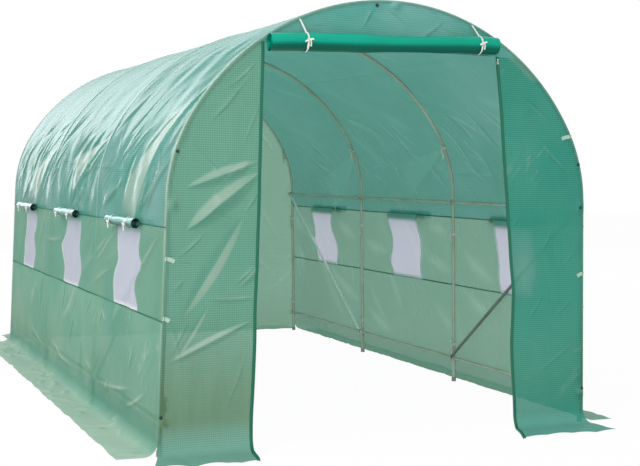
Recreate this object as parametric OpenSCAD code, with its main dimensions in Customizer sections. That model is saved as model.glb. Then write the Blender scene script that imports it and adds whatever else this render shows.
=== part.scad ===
// Walk-in polytunnel greenhouse: bent steel hoops, crimped rails and braces, and a sewn
// sheet cover with roll-up windows, a rolled-up door and ground skirts.
// X runs across the tunnel, Y from the doorway to the back, Z up. Sizes are in millimetres.

/* [Tunnel] */
// Distance between the tube axes of the first and the last hoop
tunnel_l = 3500; // [2600:50:5200]
// Number of bays between the hoops
bays = 3; // [3:1:5]
// Distance between the two feet of a hoop, at the tube axes
foot_w = 2060; // [1960:10:2300]
// Distance between the legs where the bent arch starts
spring_w = 2000; // [1900:10:2060]
// Height at which the legs end and the arch starts
spring_z = 1040; // [980:10:1120]
// Height of the tube axis at the ridge
ridge_z = 1890; // [1840:10:2100]
// Angle over the level at which the bend above each leg meets the bend over the ridge
shoulder_angle = 30; // [15:1:60]

/* [Frame tubes] */
// Outside diameter of the hoop tubes
tube_d = 19; // [16:1:28]
// Outside diameter of the rails and braces
rail_d = 16; // [12:1:22]
// Thickness of the flattened tube ends
tab_t = 3; // [2:0.5:4]
// Length of the flat from its bolt to the crimp, and past the bolt to the end
tab_l = 20; // [14:1:30]
// Length of the crimp between the flat and the round tube
crimp_l = 28; // [20:1:50]
// Height of the middle rails
mid_rail_z = 1010; // [950:5:1020]
// Height of the bottom rails
bottom_rail_z = 137; // [110:1:220]
// Outside diameter of the foot caps
foot_cap_d = 25; // [22:0.5:36]
// Height of the foot caps
foot_cap_h = 24; // [15:1:40]
// Thickness of the foot caps under the tube
foot_cap_floor = 4; // [2:0.5:8]

/* [Cover] */
// Thickness of the cover sheet
cover_t = 3; // [1.5:0.5:5]
// Radius of the fold from the walls to the skirts
fold_r = 90; // [60:5:120]
// Reach of the side skirts beyond the foot of the walls
side_skirt = 170; // [135:5:300]
// Reach of the end skirts beyond the end panels
end_skirt = 225; // [135:5:320]
// Distance of the end skirts' outer edges from the side walls
corner_slit = 3; // [1:0.5:30]

/* [Windows] */
// Height of the seam under the windows
band_low_z = 545; // [480:5:600]
// Height of the seam over the windows
band_high_z = 925; // [860:5:945]
// Width of each window
window_w = 360; // [250:10:500]
// Thickness of the insect screens
screen_t = 2; // [1:0.5:3]
// Diameter of a rolled-up window flap
flap_roll_d = 50; // [36:1:70]
// Width of a window flap
flap_w = 460; // [360:10:560]

/* [Doorway] */
// Clear width of the doorway
door_w = 1200; // [900:10:1240]
// Distance of the seam over the doorway below the point where the door edges meet the arch
head_drop = 8; // [2:1:120]
// Diameter of the rolled-up door
door_roll_d = 84; // [60:1:110]
// Distance of the door roll's ends from the zip bindings
door_roll_inset = 10; // [2:1:60]
// Width of the zip binding along each door edge
binding_w = 22; // [14:1:40]
// Thickness of the zip binding
binding_t = 6; // [5:0.5:9]

/* [Ties] */
// Width of the tie tapes
tie_w = 14; // [8:1:25]
// Thickness of the tie tapes
tie_t = 1.5; // [1:0.5:3]
// Distance of the door ties from the edges of the doorway
door_tie_inset = 185; // [170:5:350]
// Distance of the flap ties from the middle of each window
flap_tie_y = 140; // [90:5:170]

/* [Fit] */
// Clearance between curved faces that lie against each other
gap = 0.3; // [0.1:0.05:0.5]

/* [Hidden] */
$fn = 240;

STEEL = [0.62, 0.66, 0.63];
CAP = [0.16, 0.17, 0.17];
SHEET = [0.38, 0.68, 0.56];
ROLLED = [0.07, 0.52, 0.38];
BINDING = [0.02, 0.42, 0.30];
SCREEN = [0.84, 0.82, 0.88];
TAPE = [0.93, 0.94, 0.94];

// Hoop outline: a leaning leg, a shoulder arc tangent to it, and a crown arc tangent to that.
// The two radii solve the pair of equations that the tangents, the width and the height give.
lean = atan((foot_w - spring_w) / 2 / spring_z);
turn = shoulder_angle;
arch_w = spring_w / 2;
arch_h = ridge_z - spring_z;
side_x = cos(turn) - cos(lean);
side_z = sin(turn) - sin(lean);
shoulder_r = (arch_h * cos(turn) - arch_w * (1 - sin(turn)))
    / (side_x * (1 - sin(turn)) + side_z * cos(turn));
crown_r = (arch_w + side_x * shoulder_r) / cos(turn);
shoulder_x = arch_w - shoulder_r * cos(lean);
shoulder_z = spring_z - shoulder_r * sin(lean);
crown_z = ridge_z - crown_r;
// Half the angle that a seam between two parts of the curved sheet spans, and its depth in the sheet
seam_angle = 0.5;
seam_depth = 0.2;
// How far a seam between a wall and its fold reaches into each
seam_lap = 2;

tube_r = tube_d / 2;
rail_r = rail_d / 2;
bay_l = tunnel_l / bays;
cover_in = tube_r + gap;
cover_out = cover_in + cover_t;
end_in = tunnel_l / 2 + cover_in;
end_out = end_in + cover_t;
fold_z = fold_r + cover_t;
band_h = band_high_z - band_low_z;
roll_core = 8;
roll_pitch = 6;
roll_steps = 24;
far = 2 * tunnel_l;

function hoop_y(i) = -tunnel_l / 2 + i * bay_l;
function bay_y(i) = hoop_y(i) + bay_l / 2;

// Distance of the leaning leg's line, moved out by an offset, from the middle at a height
function leg_x(z, offset = 0) = spring_w / 2 + (spring_z - z) * tan(lean) + offset / cos(lean);

// Place of a tab on the inner side of the legs: layer 0 lies against the leg
function tab_x(z, layer) = leg_x(z, -tube_r) - gap - rail_r * abs(tan(lean)) - tab_t / 2 - layer * (tab_t + gap);

// At a hoop with a bay on both sides, the tube from the bay in front lies on the next one
function rail_layer(bay, end) = end == 1 && bay < bays - 1 ? 1 : 0;

// Turns a shape that is drawn in X and Y up into the plane of the hoops, with its thickness along +Y
module upright(y, t) {
    translate([0, y + t, 0]) rotate([90, 0, 0]) children();
}

module right_and_left(side) {
    if (side > 0) children();
    else mirror([1, 0, 0]) children();
}

// A wedge from the origin that covers the angles from a0 to a1 and is longer than r
module wedge(r, a0, a1, h) {
    linear_extrude(h)
        polygon([
            [0, 0],
            1.6 * r * [cos(a0), sin(a0)],
            1.6 * r * [cos((a0 + a1) / 2), sin((a0 + a1) / 2)],
            1.6 * r * [cos(a1), sin(a1)]
        ]);
}

// A curved strip between two radii
module curved_strip(r, t, a0, a1, h) {
    intersection() {
        difference() {
            cylinder(r = r + t, h = h);
            translate([0, 0, -1]) cylinder(r = r, h = h + 2);
        }
        wedge(r + t, a0, a1, h);
    }
}

// A point on the shoulder arc or the crown arc, moved out by an offset
function shoulder_point(angle, offset) =
    [shoulder_x, shoulder_z] + (shoulder_r + offset) * [cos(angle), sin(angle)];
function crown_point(angle, offset) = [0, crown_z] + (crown_r + offset) * [cos(angle), sin(angle)];

// Height of the hoop's line, moved out by an offset, at a distance from the middle
function arch_height(x, offset = 0) = x < crown_point(turn, offset)[0]
    ? crown_z + sqrt(pow(crown_r + offset, 2) - x * x)
    : shoulder_z + sqrt(pow(shoulder_r + offset, 2) - pow(x - shoulder_x, 2));

function across(points) = [for (p = points) [-p[0], p[1]]];
function backwards(points) = [for (i = [len(points) - 1:-1:0]) points[i]];

// The part of a disc under an arc from p over m to q, seen from a point inside the hoop
module disc_under(centre, r, p, m, q, h) {
    inside = [0, spring_z];
    intersection() {
        translate([centre[0], centre[1], 0]) cylinder(r = r, h = h);
        linear_extrude(h)
            polygon([for (k = [inside, p, m, q]) inside + 3 * (k - inside)]);
    }
}

// The whole inside of the hoop outline, moved out by an offset, as a slab lying in X and Y
module outline_slab(offset, h) {
    half = [
        [leg_x(0, offset), 0],
        shoulder_point(lean, offset),
        shoulder_point(lean + seam_angle, offset - seam_depth),
        shoulder_point(turn - seam_angle, offset - seam_depth),
        crown_point(turn + seam_angle, offset - seam_depth)
    ];
    nip = seam_angle / 4;
    linear_extrude(h) polygon(concat(half, backwards(across(half))));
    for (side = [1, -1])
        right_and_left(side)
            disc_under(
                [shoulder_x, shoulder_z], shoulder_r + offset,
                shoulder_point(lean + nip, offset),
                shoulder_point((lean + turn) / 2, offset),
                shoulder_point(turn - nip, offset), h
            );
    disc_under(
        [0, crown_z], crown_r + offset,
        crown_point(turn + nip, offset),
        crown_point(90, offset),
        crown_point(180 - turn - nip, offset), h
    );
}

// A round bar from point a to point b with both ends pressed flat, the bolts at a and b.
// The flats face along X.
module crimped_tube(a, b, d) {
    run = b - a;
    reach = norm(run);
    half = tab_t / 2;
    r = d / 2;
    translate(a)
        rotate([0, acos(run[2] / reach), atan2(run[1], run[0])])
            difference() {
                translate([0, 0, -tab_l]) cylinder(r = r, h = reach + 2 * tab_l);
                for (face = [1, -1], end = [0, 1])
                    translate([0, 0, end * reach])
                        mirror([0, 0, end])
                            mirror([0, face > 0 ? 0 : 1, 0])
                                rotate([0, -90, 0])
                                    translate([0, 0, -r - 1])
                                        linear_extrude(2 * r + 2)
                                            polygon([
                                                [-tab_l - 1, half], [tab_l, half],
                                                [tab_l + crimp_l, r], [tab_l + crimp_l, r + 1],
                                                [-tab_l - 1, r + 1]
                                            ]);
            }
}

// A bent tube over the ridge and one above each leg
module arch(i) {
    seam = asin(gap / shoulder_r);
    color(STEEL)
        translate([0, hoop_y(i), 0])
            rotate([90, 0, 0]) {
                for (side = [1, -1])
                    right_and_left(side)
                        translate([shoulder_x, shoulder_z, 0])
                            rotate([0, 0, lean])
                                rotate_extrude(angle = turn - lean - seam)
                                    translate([shoulder_r, 0]) circle(tube_r);
                translate([0, crown_z, 0])
                    rotate([0, 0, turn])
                        rotate_extrude(angle = 180 - 2 * turn)
                            translate([crown_r, 0]) circle(tube_r);
            }
}

// Puts a shape that stands on the ground on the line of each leg
module on_legs(side) {
    right_and_left(side)
        for (i = [0:bays])
            translate([leg_x(0), hoop_y(i), 0]) children();
}

// Straight tubes from the foot caps to the arches
module legs(side) {
    color(STEEL)
        on_legs(side)
            rotate([0, -lean, 0])
                translate([0, 0, foot_cap_floor])
                    cylinder(r = tube_r, h = spring_z / cos(lean) - foot_cap_floor);
}

// Cups under the legs, cut level with the ground
module foot_caps(side) {
    color(CAP)
        on_legs(side)
            difference() {
                rotate([0, -lean, 0])
                    translate([0, 0, -foot_cap_d]) cylinder(d = foot_cap_d, h = foot_cap_d + foot_cap_h);
                rotate([0, -lean, 0])
                    translate([0, 0, foot_cap_floor]) cylinder(r = tube_r + gap, h = foot_cap_h);
                translate([-foot_cap_d, -foot_cap_d, -2 * foot_cap_d]) cube(2 * foot_cap_d);
            }
}

// One crimped tube for each bay along a line of bolts on the legs
module rail(side, z) {
    color(STEEL)
        right_and_left(side)
            for (i = [0:bays - 1])
                crimped_tube(
                    [tab_x(z, rail_layer(i, 0)), hoop_y(i), z],
                    [tab_x(z, rail_layer(i, 1)), hoop_y(i + 1), z],
                    rail_d
                );
}

// Crimped tubes whose flats are bolted under the crowns of the hoops
module ridge_tubes() {
    color(STEEL)
        for (i = [0:bays - 1]) {
            depth = [for (end = [0, 1])
                ridge_z - tube_r - gap - tab_t / 2 - rail_layer(i, end) * (tab_t + gap)];
            rotate([0, 90, 0])
                crimped_tube([-depth[0], hoop_y(i), 0], [-depth[1], hoop_y(i + 1), 0], rail_d);
        }
}

// Diagonals in the first and the last bay, from the middle rail's end bolt to the bottom rail
module braces(side) {
    inner = [1, bays - 1];
    color(STEEL)
        right_and_left(side)
            for (k = [0, 1])
                crimped_tube(
                    [tab_x(bottom_rail_z, 2), hoop_y(inner[k]), bottom_rail_z],
                    [tab_x(mid_rail_z, 1), hoop_y(k * bays), mid_rail_z],
                    rail_d
                );
}

// The arched sheet between the seams over the windows
module roof_sheet() {
    l = 2 * end_out;
    low = cover_in + seam_depth;
    high = cover_out - seam_depth;
    color(SHEET)
        upright(-end_out, l) {
            for (side = [1, -1])
                right_and_left(side) {
                    linear_extrude(l)
                        polygon([
                            [leg_x(band_high_z, cover_in), band_high_z],
                            [leg_x(band_high_z, cover_out), band_high_z],
                            shoulder_point(lean, cover_out), shoulder_point(lean + seam_angle, high),
                            shoulder_point(lean + seam_angle, low), shoulder_point(lean, cover_in)
                        ]);
                    linear_extrude(l)
                        polygon([
                            shoulder_point(turn - seam_angle, low), shoulder_point(turn - seam_angle, high),
                            crown_point(turn + seam_angle, high), crown_point(turn + seam_angle, low)
                        ]);
                    translate([shoulder_x, shoulder_z, 0])
                        curved_strip(
                            shoulder_r + cover_in, cover_t,
                            lean + seam_angle / 4, turn - seam_angle / 4, l
                        );
                }
            translate([0, crown_z, 0])
                curved_strip(
                    crown_r + cover_in, cover_t,
                    turn + seam_angle / 4, 180 - turn - seam_angle / 4, l
                );
        }
}

// A flat piece of the leaning side wall between two heights and two places along the tunnel
module wall_piece(z0, z1, y0, y1, inset, t) {
    upright(y0, y1 - y0)
        linear_extrude(y1 - y0)
            polygon([
                [leg_x(z0, cover_in + inset), z0], [leg_x(z0, cover_in + inset + t), z0],
                [leg_x(z1, cover_in + inset + t), z1], [leg_x(z1, cover_in + inset), z1]
            ]);
}

// The sheet between the windows of a side, from seam to seam
module window_band(side) {
    edges = [
        -end_out,
        for (i = [0:bays - 1], end = [-1, 1]) bay_y(i) + end * window_w / 2,
        end_out
    ];
    color(SHEET)
        right_and_left(side)
            for (i = [0:bays])
                wall_piece(band_low_z, band_high_z, edges[2 * i], edges[2 * i + 1], 0, cover_t);
}

// Insect screens that fill the windows
module window_screens(side) {
    color(SCREEN)
        right_and_left(side)
            for (i = [0:bays - 1])
                wall_piece(
                    band_low_z, band_high_z,
                    bay_y(i) - window_w / 2, bay_y(i) + window_w / 2,
                    (cover_t - screen_t) / 2, screen_t
                );
}

// A fold that turns a sheet from a wall, which leans by an angle, to flat on the ground.
// The sheet's inner face reaches the ground at the origin if it runs straight on.
module fold_to_ground(angle, t, reach, h) {
    outer_r = fold_z;
    centre = outer_r * (1 - sin(angle)) / cos(angle);
    translate([centre, outer_r, 0])
        intersection() {
            difference() {
                cylinder(r = outer_r, h = h);
                translate([0, 0, -1]) cylinder(r = outer_r - t, h = h + 2);
            }
            wedge(outer_r, 180 + angle, 270, h);
        }
    translate([centre, 0, 0]) cube([reach - centre, t, h]);
}

// The side wall under the windows, with its skirt on the ground
module lower_wall(side) {
    tangent_z = fold_z * (1 - sin(lean));
    color(SHEET)
        right_and_left(side) {
            wall_piece(tangent_z, band_low_z, -end_out, end_out, 0, cover_t);
            wall_piece(
                tangent_z - seam_lap, tangent_z + seam_lap, -end_out, end_out,
                seam_depth, cover_t - 2 * seam_depth
            );
            upright(-end_out, 2 * end_out)
                translate([leg_x(0, cover_in), 0, 0])
                    fold_to_ground(lean, cover_t, side_skirt, 2 * end_out);
        }
}

// The fold and skirt under an end panel between two places across the tunnel, at the back
module end_fold(x0, x1, t) {
    translate([x0, end_in, 0])
        rotate([90, 0, 90])
            fold_to_ground(0, t, end_skirt, x1 - x0);
    translate([x0 + seam_lap, end_in + seam_depth, fold_z - seam_lap])
        cube([x1 - x0 - 2 * seam_lap, t - 2 * seam_depth, 2 * seam_lap]);
}

// The part of an end panel above its fold, at the back
module end_slab() {
    intersection() {
        upright(end_in, cover_t) outline_slab(cover_in - gap, cover_t);
        translate([-far, 0, fold_z]) cube([2 * far, far, far]);
    }
}

module front_panel(side) {
    inner = door_w / 2 + binding_w;
    color(SHEET)
        mirror([0, 1, 0])
            right_and_left(side) {
                intersection() {
                    end_slab();
                    translate([inner, 0, 0]) cube([far, far, door_top]);
                }
                end_fold(inner, leg_x(fold_z, cover_in) - corner_slit, cover_t);
            }
}

module front_head_panel() {
    color(SHEET)
        mirror([0, 1, 0])
            intersection() {
                end_slab();
                translate([-far, 0, door_top]) cube([2 * far, far, far]);
            }
}

module rear_panel() {
    reach = leg_x(fold_z, cover_in) - corner_slit;
    color(SHEET) {
        end_slab();
        end_fold(-reach, reach, cover_t);
    }
}

// The zip strip down a door edge and over the skirt
module door_binding(side) {
    color(BINDING)
        mirror([0, 1, 0])
            right_and_left(side) {
                intersection() {
                    upright(end_in, binding_t) outline_slab(cover_in - gap, binding_t);
                    translate([door_w / 2, 0, fold_z]) cube([binding_w, far, door_top - fold_z]);
                }
                end_fold(door_w / 2, door_w / 2 + binding_w, binding_t);
            }
}

// The cross-section of a sheet rolled up to a diameter, lying in X and Y
module rolled_outline(d) {
    turns = (d / 2 - roll_core) / roll_pitch - 0.5;
    count = floor(turns * roll_steps);
    wall = 0.7 * roll_pitch;
    function roll_point(i, r) = (r + roll_pitch * i / roll_steps)
        * [cos(360 * i / roll_steps), sin(360 * i / roll_steps)];
    start_r = d / 2 - wall - roll_pitch * count / roll_steps;
    rotate(-360 * count / roll_steps)
        polygon(concat(
            [for (i = [0:count]) roll_point(i, start_r + wall)],
            [for (i = [count:-1:0]) roll_point(i, start_r)]
        ));
}

door_loop_r = door_roll_d / 2 + gap + tie_t;
door_strap_y = -end_out - gap - tie_t;
door_roll_y = door_strap_y - gap - door_loop_r;
door_roll_l = door_w - 2 * door_roll_inset;
door_tie_x = door_w / 2 - door_tie_inset;
door_top = arch_height(door_w / 2 + binding_w, cover_in - gap) - head_drop;

// The door sheet, rolled up over the doorway
module door_roll() {
    color(ROLLED)
        translate([-door_roll_l / 2, door_roll_y, door_top])
            rotate([90, 0, 90])
                linear_extrude(door_roll_l)
                    rolled_outline(door_roll_d);
}

// A tape loop round a roll, standing in X and Y
module tie_loop(d) {
    difference() {
        cylinder(r = d / 2 + gap + tie_t, h = tie_w);
        translate([0, 0, -1]) cylinder(r = d / 2 + gap, h = tie_w + 2);
    }
}

// A tape loop round the rolled door and the tape that carries it from the seam above
module door_tie(side) {
    strap_top = arch_height(door_tie_x + tie_w / 2, cover_in - gap);
    color(TAPE)
        right_and_left(side)
            translate([door_tie_x - tie_w / 2, 0, 0]) {
                translate([0, door_roll_y, door_top])
                    rotate([90, 0, 90]) tie_loop(door_roll_d);
                translate([0, door_strap_y, door_top])
                    cube([tie_w, tie_t, strap_top - door_top]);
            }
}

flap_roll_z = band_high_z;
flap_roll_x = leg_x(flap_roll_z, cover_out + 2 * gap + tie_t + flap_roll_d / 2);

// The window flaps, rolled up over the windows on the outside
module flap_rolls(side) {
    color(ROLLED)
        right_and_left(side)
            for (i = [0:bays - 1])
                translate([flap_roll_x, bay_y(i) + flap_w / 2, flap_roll_z])
                    rotate([90, 180, 0])
                        linear_extrude(flap_w)
                            rolled_outline(flap_roll_d);
}

module flap_ties(side) {
    color(TAPE)
        right_and_left(side)
            for (i = [0:bays - 1], end = [-1, 1])
                translate([flap_roll_x, bay_y(i) + end * flap_tie_y + tie_w / 2, flap_roll_z])
                    rotate([90, 0, 0]) tie_loop(flap_roll_d);
}

arch(0);  // front_arch
arch(1);  // second_arch
for (i = [2:bays - 1]) arch(i);  // third_arch
arch(bays);  // rear_arch
legs(-1);  // left_legs
legs(1);  // right_legs
foot_caps(-1);  // left_foot_caps
foot_caps(1);  // right_foot_caps
ridge_tubes();
rail(-1, mid_rail_z);  // left_mid_rail
rail(1, mid_rail_z);  // right_mid_rail
rail(-1, bottom_rail_z);  // left_bottom_rail
rail(1, bottom_rail_z);  // right_bottom_rail
braces(-1);  // left_braces
braces(1);  // right_braces
roof_sheet();
window_band(-1);  // left_window_band
window_band(1);  // right_window_band
lower_wall(-1);  // left_lower_wall
lower_wall(1);  // right_lower_wall
front_panel(-1);  // front_left_panel
front_panel(1);  // front_right_panel
front_head_panel();
rear_panel();
door_binding(-1);  // left_door_binding
door_binding(1);  // right_door_binding
door_roll();
door_tie(-1);  // left_door_tie
door_tie(1);  // right_door_tie
window_screens(-1);  // left_window_screens
window_screens(1);  // right_window_screens
flap_rolls(-1);  // left_flap_rolls
flap_rolls(1);  // right_flap_rolls
flap_ties(-1);  // left_flap_ties
flap_ties(1);  // right_flap_ties
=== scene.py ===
"""Looks of a walk-in polytunnel: its cover, screens, rolled door and flaps, ties and fittings."""

import math

import bmesh
import bpy
import numpy as np
from bpy.props import FloatProperty, FloatVectorProperty, PointerProperty
from mathutils import Matrix, Vector


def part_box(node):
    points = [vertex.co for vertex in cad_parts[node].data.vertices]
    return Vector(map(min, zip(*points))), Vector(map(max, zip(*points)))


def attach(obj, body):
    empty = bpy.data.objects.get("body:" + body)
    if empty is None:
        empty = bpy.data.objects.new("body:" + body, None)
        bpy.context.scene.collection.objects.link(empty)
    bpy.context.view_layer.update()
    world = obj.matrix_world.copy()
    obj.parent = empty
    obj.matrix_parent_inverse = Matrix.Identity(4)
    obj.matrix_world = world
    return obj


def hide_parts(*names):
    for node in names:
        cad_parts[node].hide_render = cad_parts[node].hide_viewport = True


bl_info = {
    "name": "Polytunnel greenhouse",
    "version": (1, 0, 0),
    "blender": (4, 5, 0),
    "location": "3D View > Sidebar > Polytunnel",
    "description": "Dresses the packed tunnel frame with its cover, screens, rolls, ties and fittings",
    "category": "Object",
}

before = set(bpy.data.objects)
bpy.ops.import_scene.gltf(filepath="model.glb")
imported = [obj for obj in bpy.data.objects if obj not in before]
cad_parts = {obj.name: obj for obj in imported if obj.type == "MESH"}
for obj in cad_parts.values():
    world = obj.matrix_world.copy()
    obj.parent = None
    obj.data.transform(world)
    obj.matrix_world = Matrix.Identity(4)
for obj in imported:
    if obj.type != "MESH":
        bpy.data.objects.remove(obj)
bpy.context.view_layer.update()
SIDES = (("left", -1), ("right", 1))
ENDS = (("front", -1), ("rear", 1))


def tint(red, green, blue):
    """Linear colour of three values from 0 to 255."""
    levels = []
    for value in (red, green, blue):
        share = value / 255
        levels.append(share / 12.92 if share <= 0.04045 else ((share + 0.055) / 1.055) ** 2.4)
    return (*levels, 1.0)


def metres(name, description, default, low):
    """A length for the panel."""
    return FloatProperty(
        name=name, description=description, default=default, min=low, unit="LENGTH", subtype="DISTANCE")


def paint(name, description, red, green, blue):
    """A colour for the panel, from three values from 0 to 255."""
    return FloatVectorProperty(
        name=name, description=description, default=tint(red, green, blue), size=4, min=0, max=1,
        subtype="COLOR")


class TunnelSizes(bpy.types.PropertyGroup):
    """Sizes of the hoops and of the sheets that are cut to fit them."""

    length: metres("Length", "From the front hoop's middle to the rear hoop's", 3.5, 1)
    spring_width: metres(
        "Spring width", "Between the leg axes where the bend of the hoop starts", 2.0, 0.5)
    foot_width: metres("Foot width", "Between the leg axes at the ground", 2.06, 0.5)
    spring_height: metres("Spring height", "Height at which the bend of the hoop starts", 1.04, 0.3)
    ridge_height: metres("Ridge height", "Height of the hoop's axis at the ridge", 1.89, 0.6)
    shoulder_turn: FloatProperty(
        name="Shoulder turn", description="Angle at which the tight shoulder bend meets the crown",
        default=math.radians(30), min=0.1, unit="ROTATION", subtype="ANGLE")
    tube_width: metres("Tube width", "Diameter of the hoop tubes", 0.019, 0.005)
    cover_offset: metres(
        "Cover offset", "From the tube's axis to the middle of the cover film", 0.0113, 0.005)
    fold_height: metres("Fold height", "Height of the centre of the bend into the skirt", 0.060, 0.02)
    skirt_rise: metres("Skirt rise", "Height of the skirt film over the ground", 0.0015, 0)
    band_low: metres("Lower seam", "Height of the seam under the windows", 0.545, 0.2)
    band_high: metres("Upper seam", "Height of the seam over the windows", 0.925, 0.3)
    side_reach: metres(
        "Side skirt reach", "From the middle to the edge of the side skirt",
        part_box("right_lower_wall")[1][0], 0.5)
    end_reach: metres(
        "End skirt reach", "From the middle to the edge of the end skirts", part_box("rear_panel")[1][1], 0.5)
    door_top: metres(
        "Door top", "Height of the head panel's lower edge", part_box("front_head_panel")[0][2], 0.5)
    grid: metres("Film grid", "Spacing of the points of the film", 0.012, 0.006)
    slack: metres("Slack", "How far the film can dip between the hoops", 0.00825, 0)
    tape_width: metres("Tie width", "Width of the tie tapes", 0.009, 0.004)


class TunnelColours(bpy.types.PropertyGroup):
    """Colours of the film, tapes, screens and metal."""

    film: paint("Film", "Cover film between its threads", 26, 152, 132)
    film_pale: paint("Pale film", "Cover film where it is thin or stretched", 96, 176, 158)
    # A pale bluish green blended into the roof, head and flap films: painted sheen of the sky
    film_roof: paint("Bleached film", "Roof film bleached by the sun", 146, 188, 187)
    # Its paleness on the walls and the left front panel is painted sheen, in place of the film's gloss
    film_dry: paint(
        "Weathered film", "Film of the walls where dust and wear have dulled it", 140, 188, 164)
    thread: paint("Threads", "Reinforcing threads in the film", 124, 194, 174)
    # Pale cream for film whitened by folding and drawn over tubes, also painted highlight on fold crests and
    # along the hoops
    crease_and_highlight: paint("Creases", "Film whitened by folding and where it is drawn over a tube", 232, 238, 222)
    glow: paint(
        "Light through film", "Colour that the film gives to light passing through it", 66, 171, 154)
    dust: paint("Dust", "Soil dust low on the film", 100, 120, 68)
    film_old: paint("Old film", "Film of the rear wall where dust has settled into it", 130, 149, 113)
    rolled: paint("Rolled film", "Film of the rolled door, many layers deep", 2, 156, 128)
    rolled_pale: paint("Pale rolled film", "Thin places of the rolled film", 12, 180, 154)
    binding: paint("Binding", "Seam tapes and door binding", 0, 98, 72)
    screen: paint("Insect screen", "Mesh in the windows", 230, 226, 246)
    tape: paint("Tie tape", "White tie tapes", 236, 236, 230)
    steel: paint("Galvanised steel", "Tubes of the frame", 200, 208, 192)
    plastic: paint("Dark plastic", "Caps of the hoop bolts", 20, 46, 42)


class Value:
    """A shader socket that takes part in Python arithmetic."""

    def __init__(self, graph, socket):
        self.graph = graph
        self.socket = socket

    def math(self, operation, *others):
        sockets = dict(enumerate((self, *others)))
        return self.graph.node("ShaderNodeMath", {"operation": operation}, sockets)

    def __add__(self, other):
        return self.math("ADD", other)

    __radd__ = __add__

    def __sub__(self, other):
        return self.math("SUBTRACT", other)

    def __rsub__(self, other):
        return self.graph.node("ShaderNodeMath", {"operation": "SUBTRACT"}, {0: other, 1: self})

    def __mul__(self, other):
        return self.math("MULTIPLY", other)

    __rmul__ = __mul__

    def zigzag(self, width):
        """Rises and falls between 0 and a width."""
        return self.math("PINGPONG", width)

    def greater(self, other):
        return self.math("MAXIMUM", other)

    def ease(self, low, high):
        """Goes smoothly from 0 at one value to 1 at another."""
        spans = {0: self, 1: low, 2: high, 3: 0, 4: 1}
        return self.graph.node("ShaderNodeMapRange", {"interpolation_type": "SMOOTHSTEP"}, spans)


class Graph:
    """The node tree of one material or world."""

    def __init__(self, owner):
        owner.use_nodes = True
        self.tree = owner.node_tree
        self.tree.nodes.clear()

    def node(self, kind, settings=None, sockets=None, output=0):
        """Add a node of a type with its settings and its socket values or links, and give an output."""
        made = self.tree.nodes.new(kind)
        for name, setting in (settings or {}).items():
            setattr(made, name, setting)
        for key, given in (sockets or {}).items():
            if isinstance(given, Value):
                self.tree.links.new(given.socket, made.inputs[key])
            else:
                made.inputs[key].default_value = given
        return Value(self, made.outputs[output]) if made.outputs else None

    def blend(self, share, low, high):
        """Mix two colours."""
        return self.node("ShaderNodeMix", {"data_type": "RGBA"}, {0: share, 6: low, 7: high}, 2)

    def mark(self, name):
        """A value that the piece's own mesh carries."""
        return self.node("ShaderNodeAttribute", {"attribute_name": name}, {}, 2)

    def cut(self):
        """The flat cut, and its two lengths."""
        flat = self.node("ShaderNodeUVMap", {"uv_map": "cut"})
        across = self.node("ShaderNodeSeparateXYZ", {}, {0: flat})
        return flat, across, Value(self, across.socket.node.outputs[1])

    def place(self):
        """Object coordinates."""
        return self.node("ShaderNodeTexCoord", {}, {}, 3)

    def noise(self, vector, scale, detail=3.0, roughness=0.5, stretch=None, turn=(0, 0, 0)):
        """Cloudy noise, stretched where wanted."""
        if stretch:
            mapping = {0: vector, 2: turn, 3: stretch}
            vector = self.node("ShaderNodeMapping", {"vector_type": "TEXTURE"}, mapping)
        return self.node(
            "ShaderNodeTexNoise", {}, {0: vector, "Scale": scale, "Detail": detail, "Roughness": roughness})

    def bump(self, height, distance, strength):
        sockets = {"Height": height, "Distance": distance, "Strength": strength}
        return self.node("ShaderNodeBump", {}, sockets)

    def body(self, colour, roughness, normal, more=None):
        """The main shader of a finish."""
        sockets = {"Base Color": colour, "Roughness": roughness, "Normal": normal, **(more or {})}
        return self.node("ShaderNodeBsdfPrincipled", {}, sockets)

    def mix(self, share, first, second):
        """Mix two shaders."""
        return self.node("ShaderNodeMixShader", {}, {0: share, 1: first, 2: second})

    def output(self, shader, kind="ShaderNodeOutputMaterial"):
        self.node(kind, {}, {0: shader})


def new_graph(name):
    material = bpy.data.materials.new(name)
    return material, Graph(material)


def tuned(colour, scale, lift=0.0):
    """A colour made darker or paler."""
    return [min(1.0, level * scale + lift) for level in list(colour)[:3]] + [1.0]


THREAD_PITCH = 0.0094
THREAD_CORE, THREAD_EDGE = 0.0008, 0.0028
FILM_IOR = 1.5
WHITE = (1, 1, 1, 1)
CLEAR_TINT = (0.82, 0.93, 0.9, 1)
STITCH_COLOUR = (0.1, 0.36, 0.28, 1)
HEM_COLOUR = (0.9, 0.9, 0.9, 1)
MESH_PITCH = 0.0011
SOILED_TAPE = tint(176, 178, 166)
DULL_STEEL = tint(176, 174, 158)
SHADED_STEEL = tint(44, 62, 50)
GREY_PLASTIC = tint(156, 158, 148)


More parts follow.
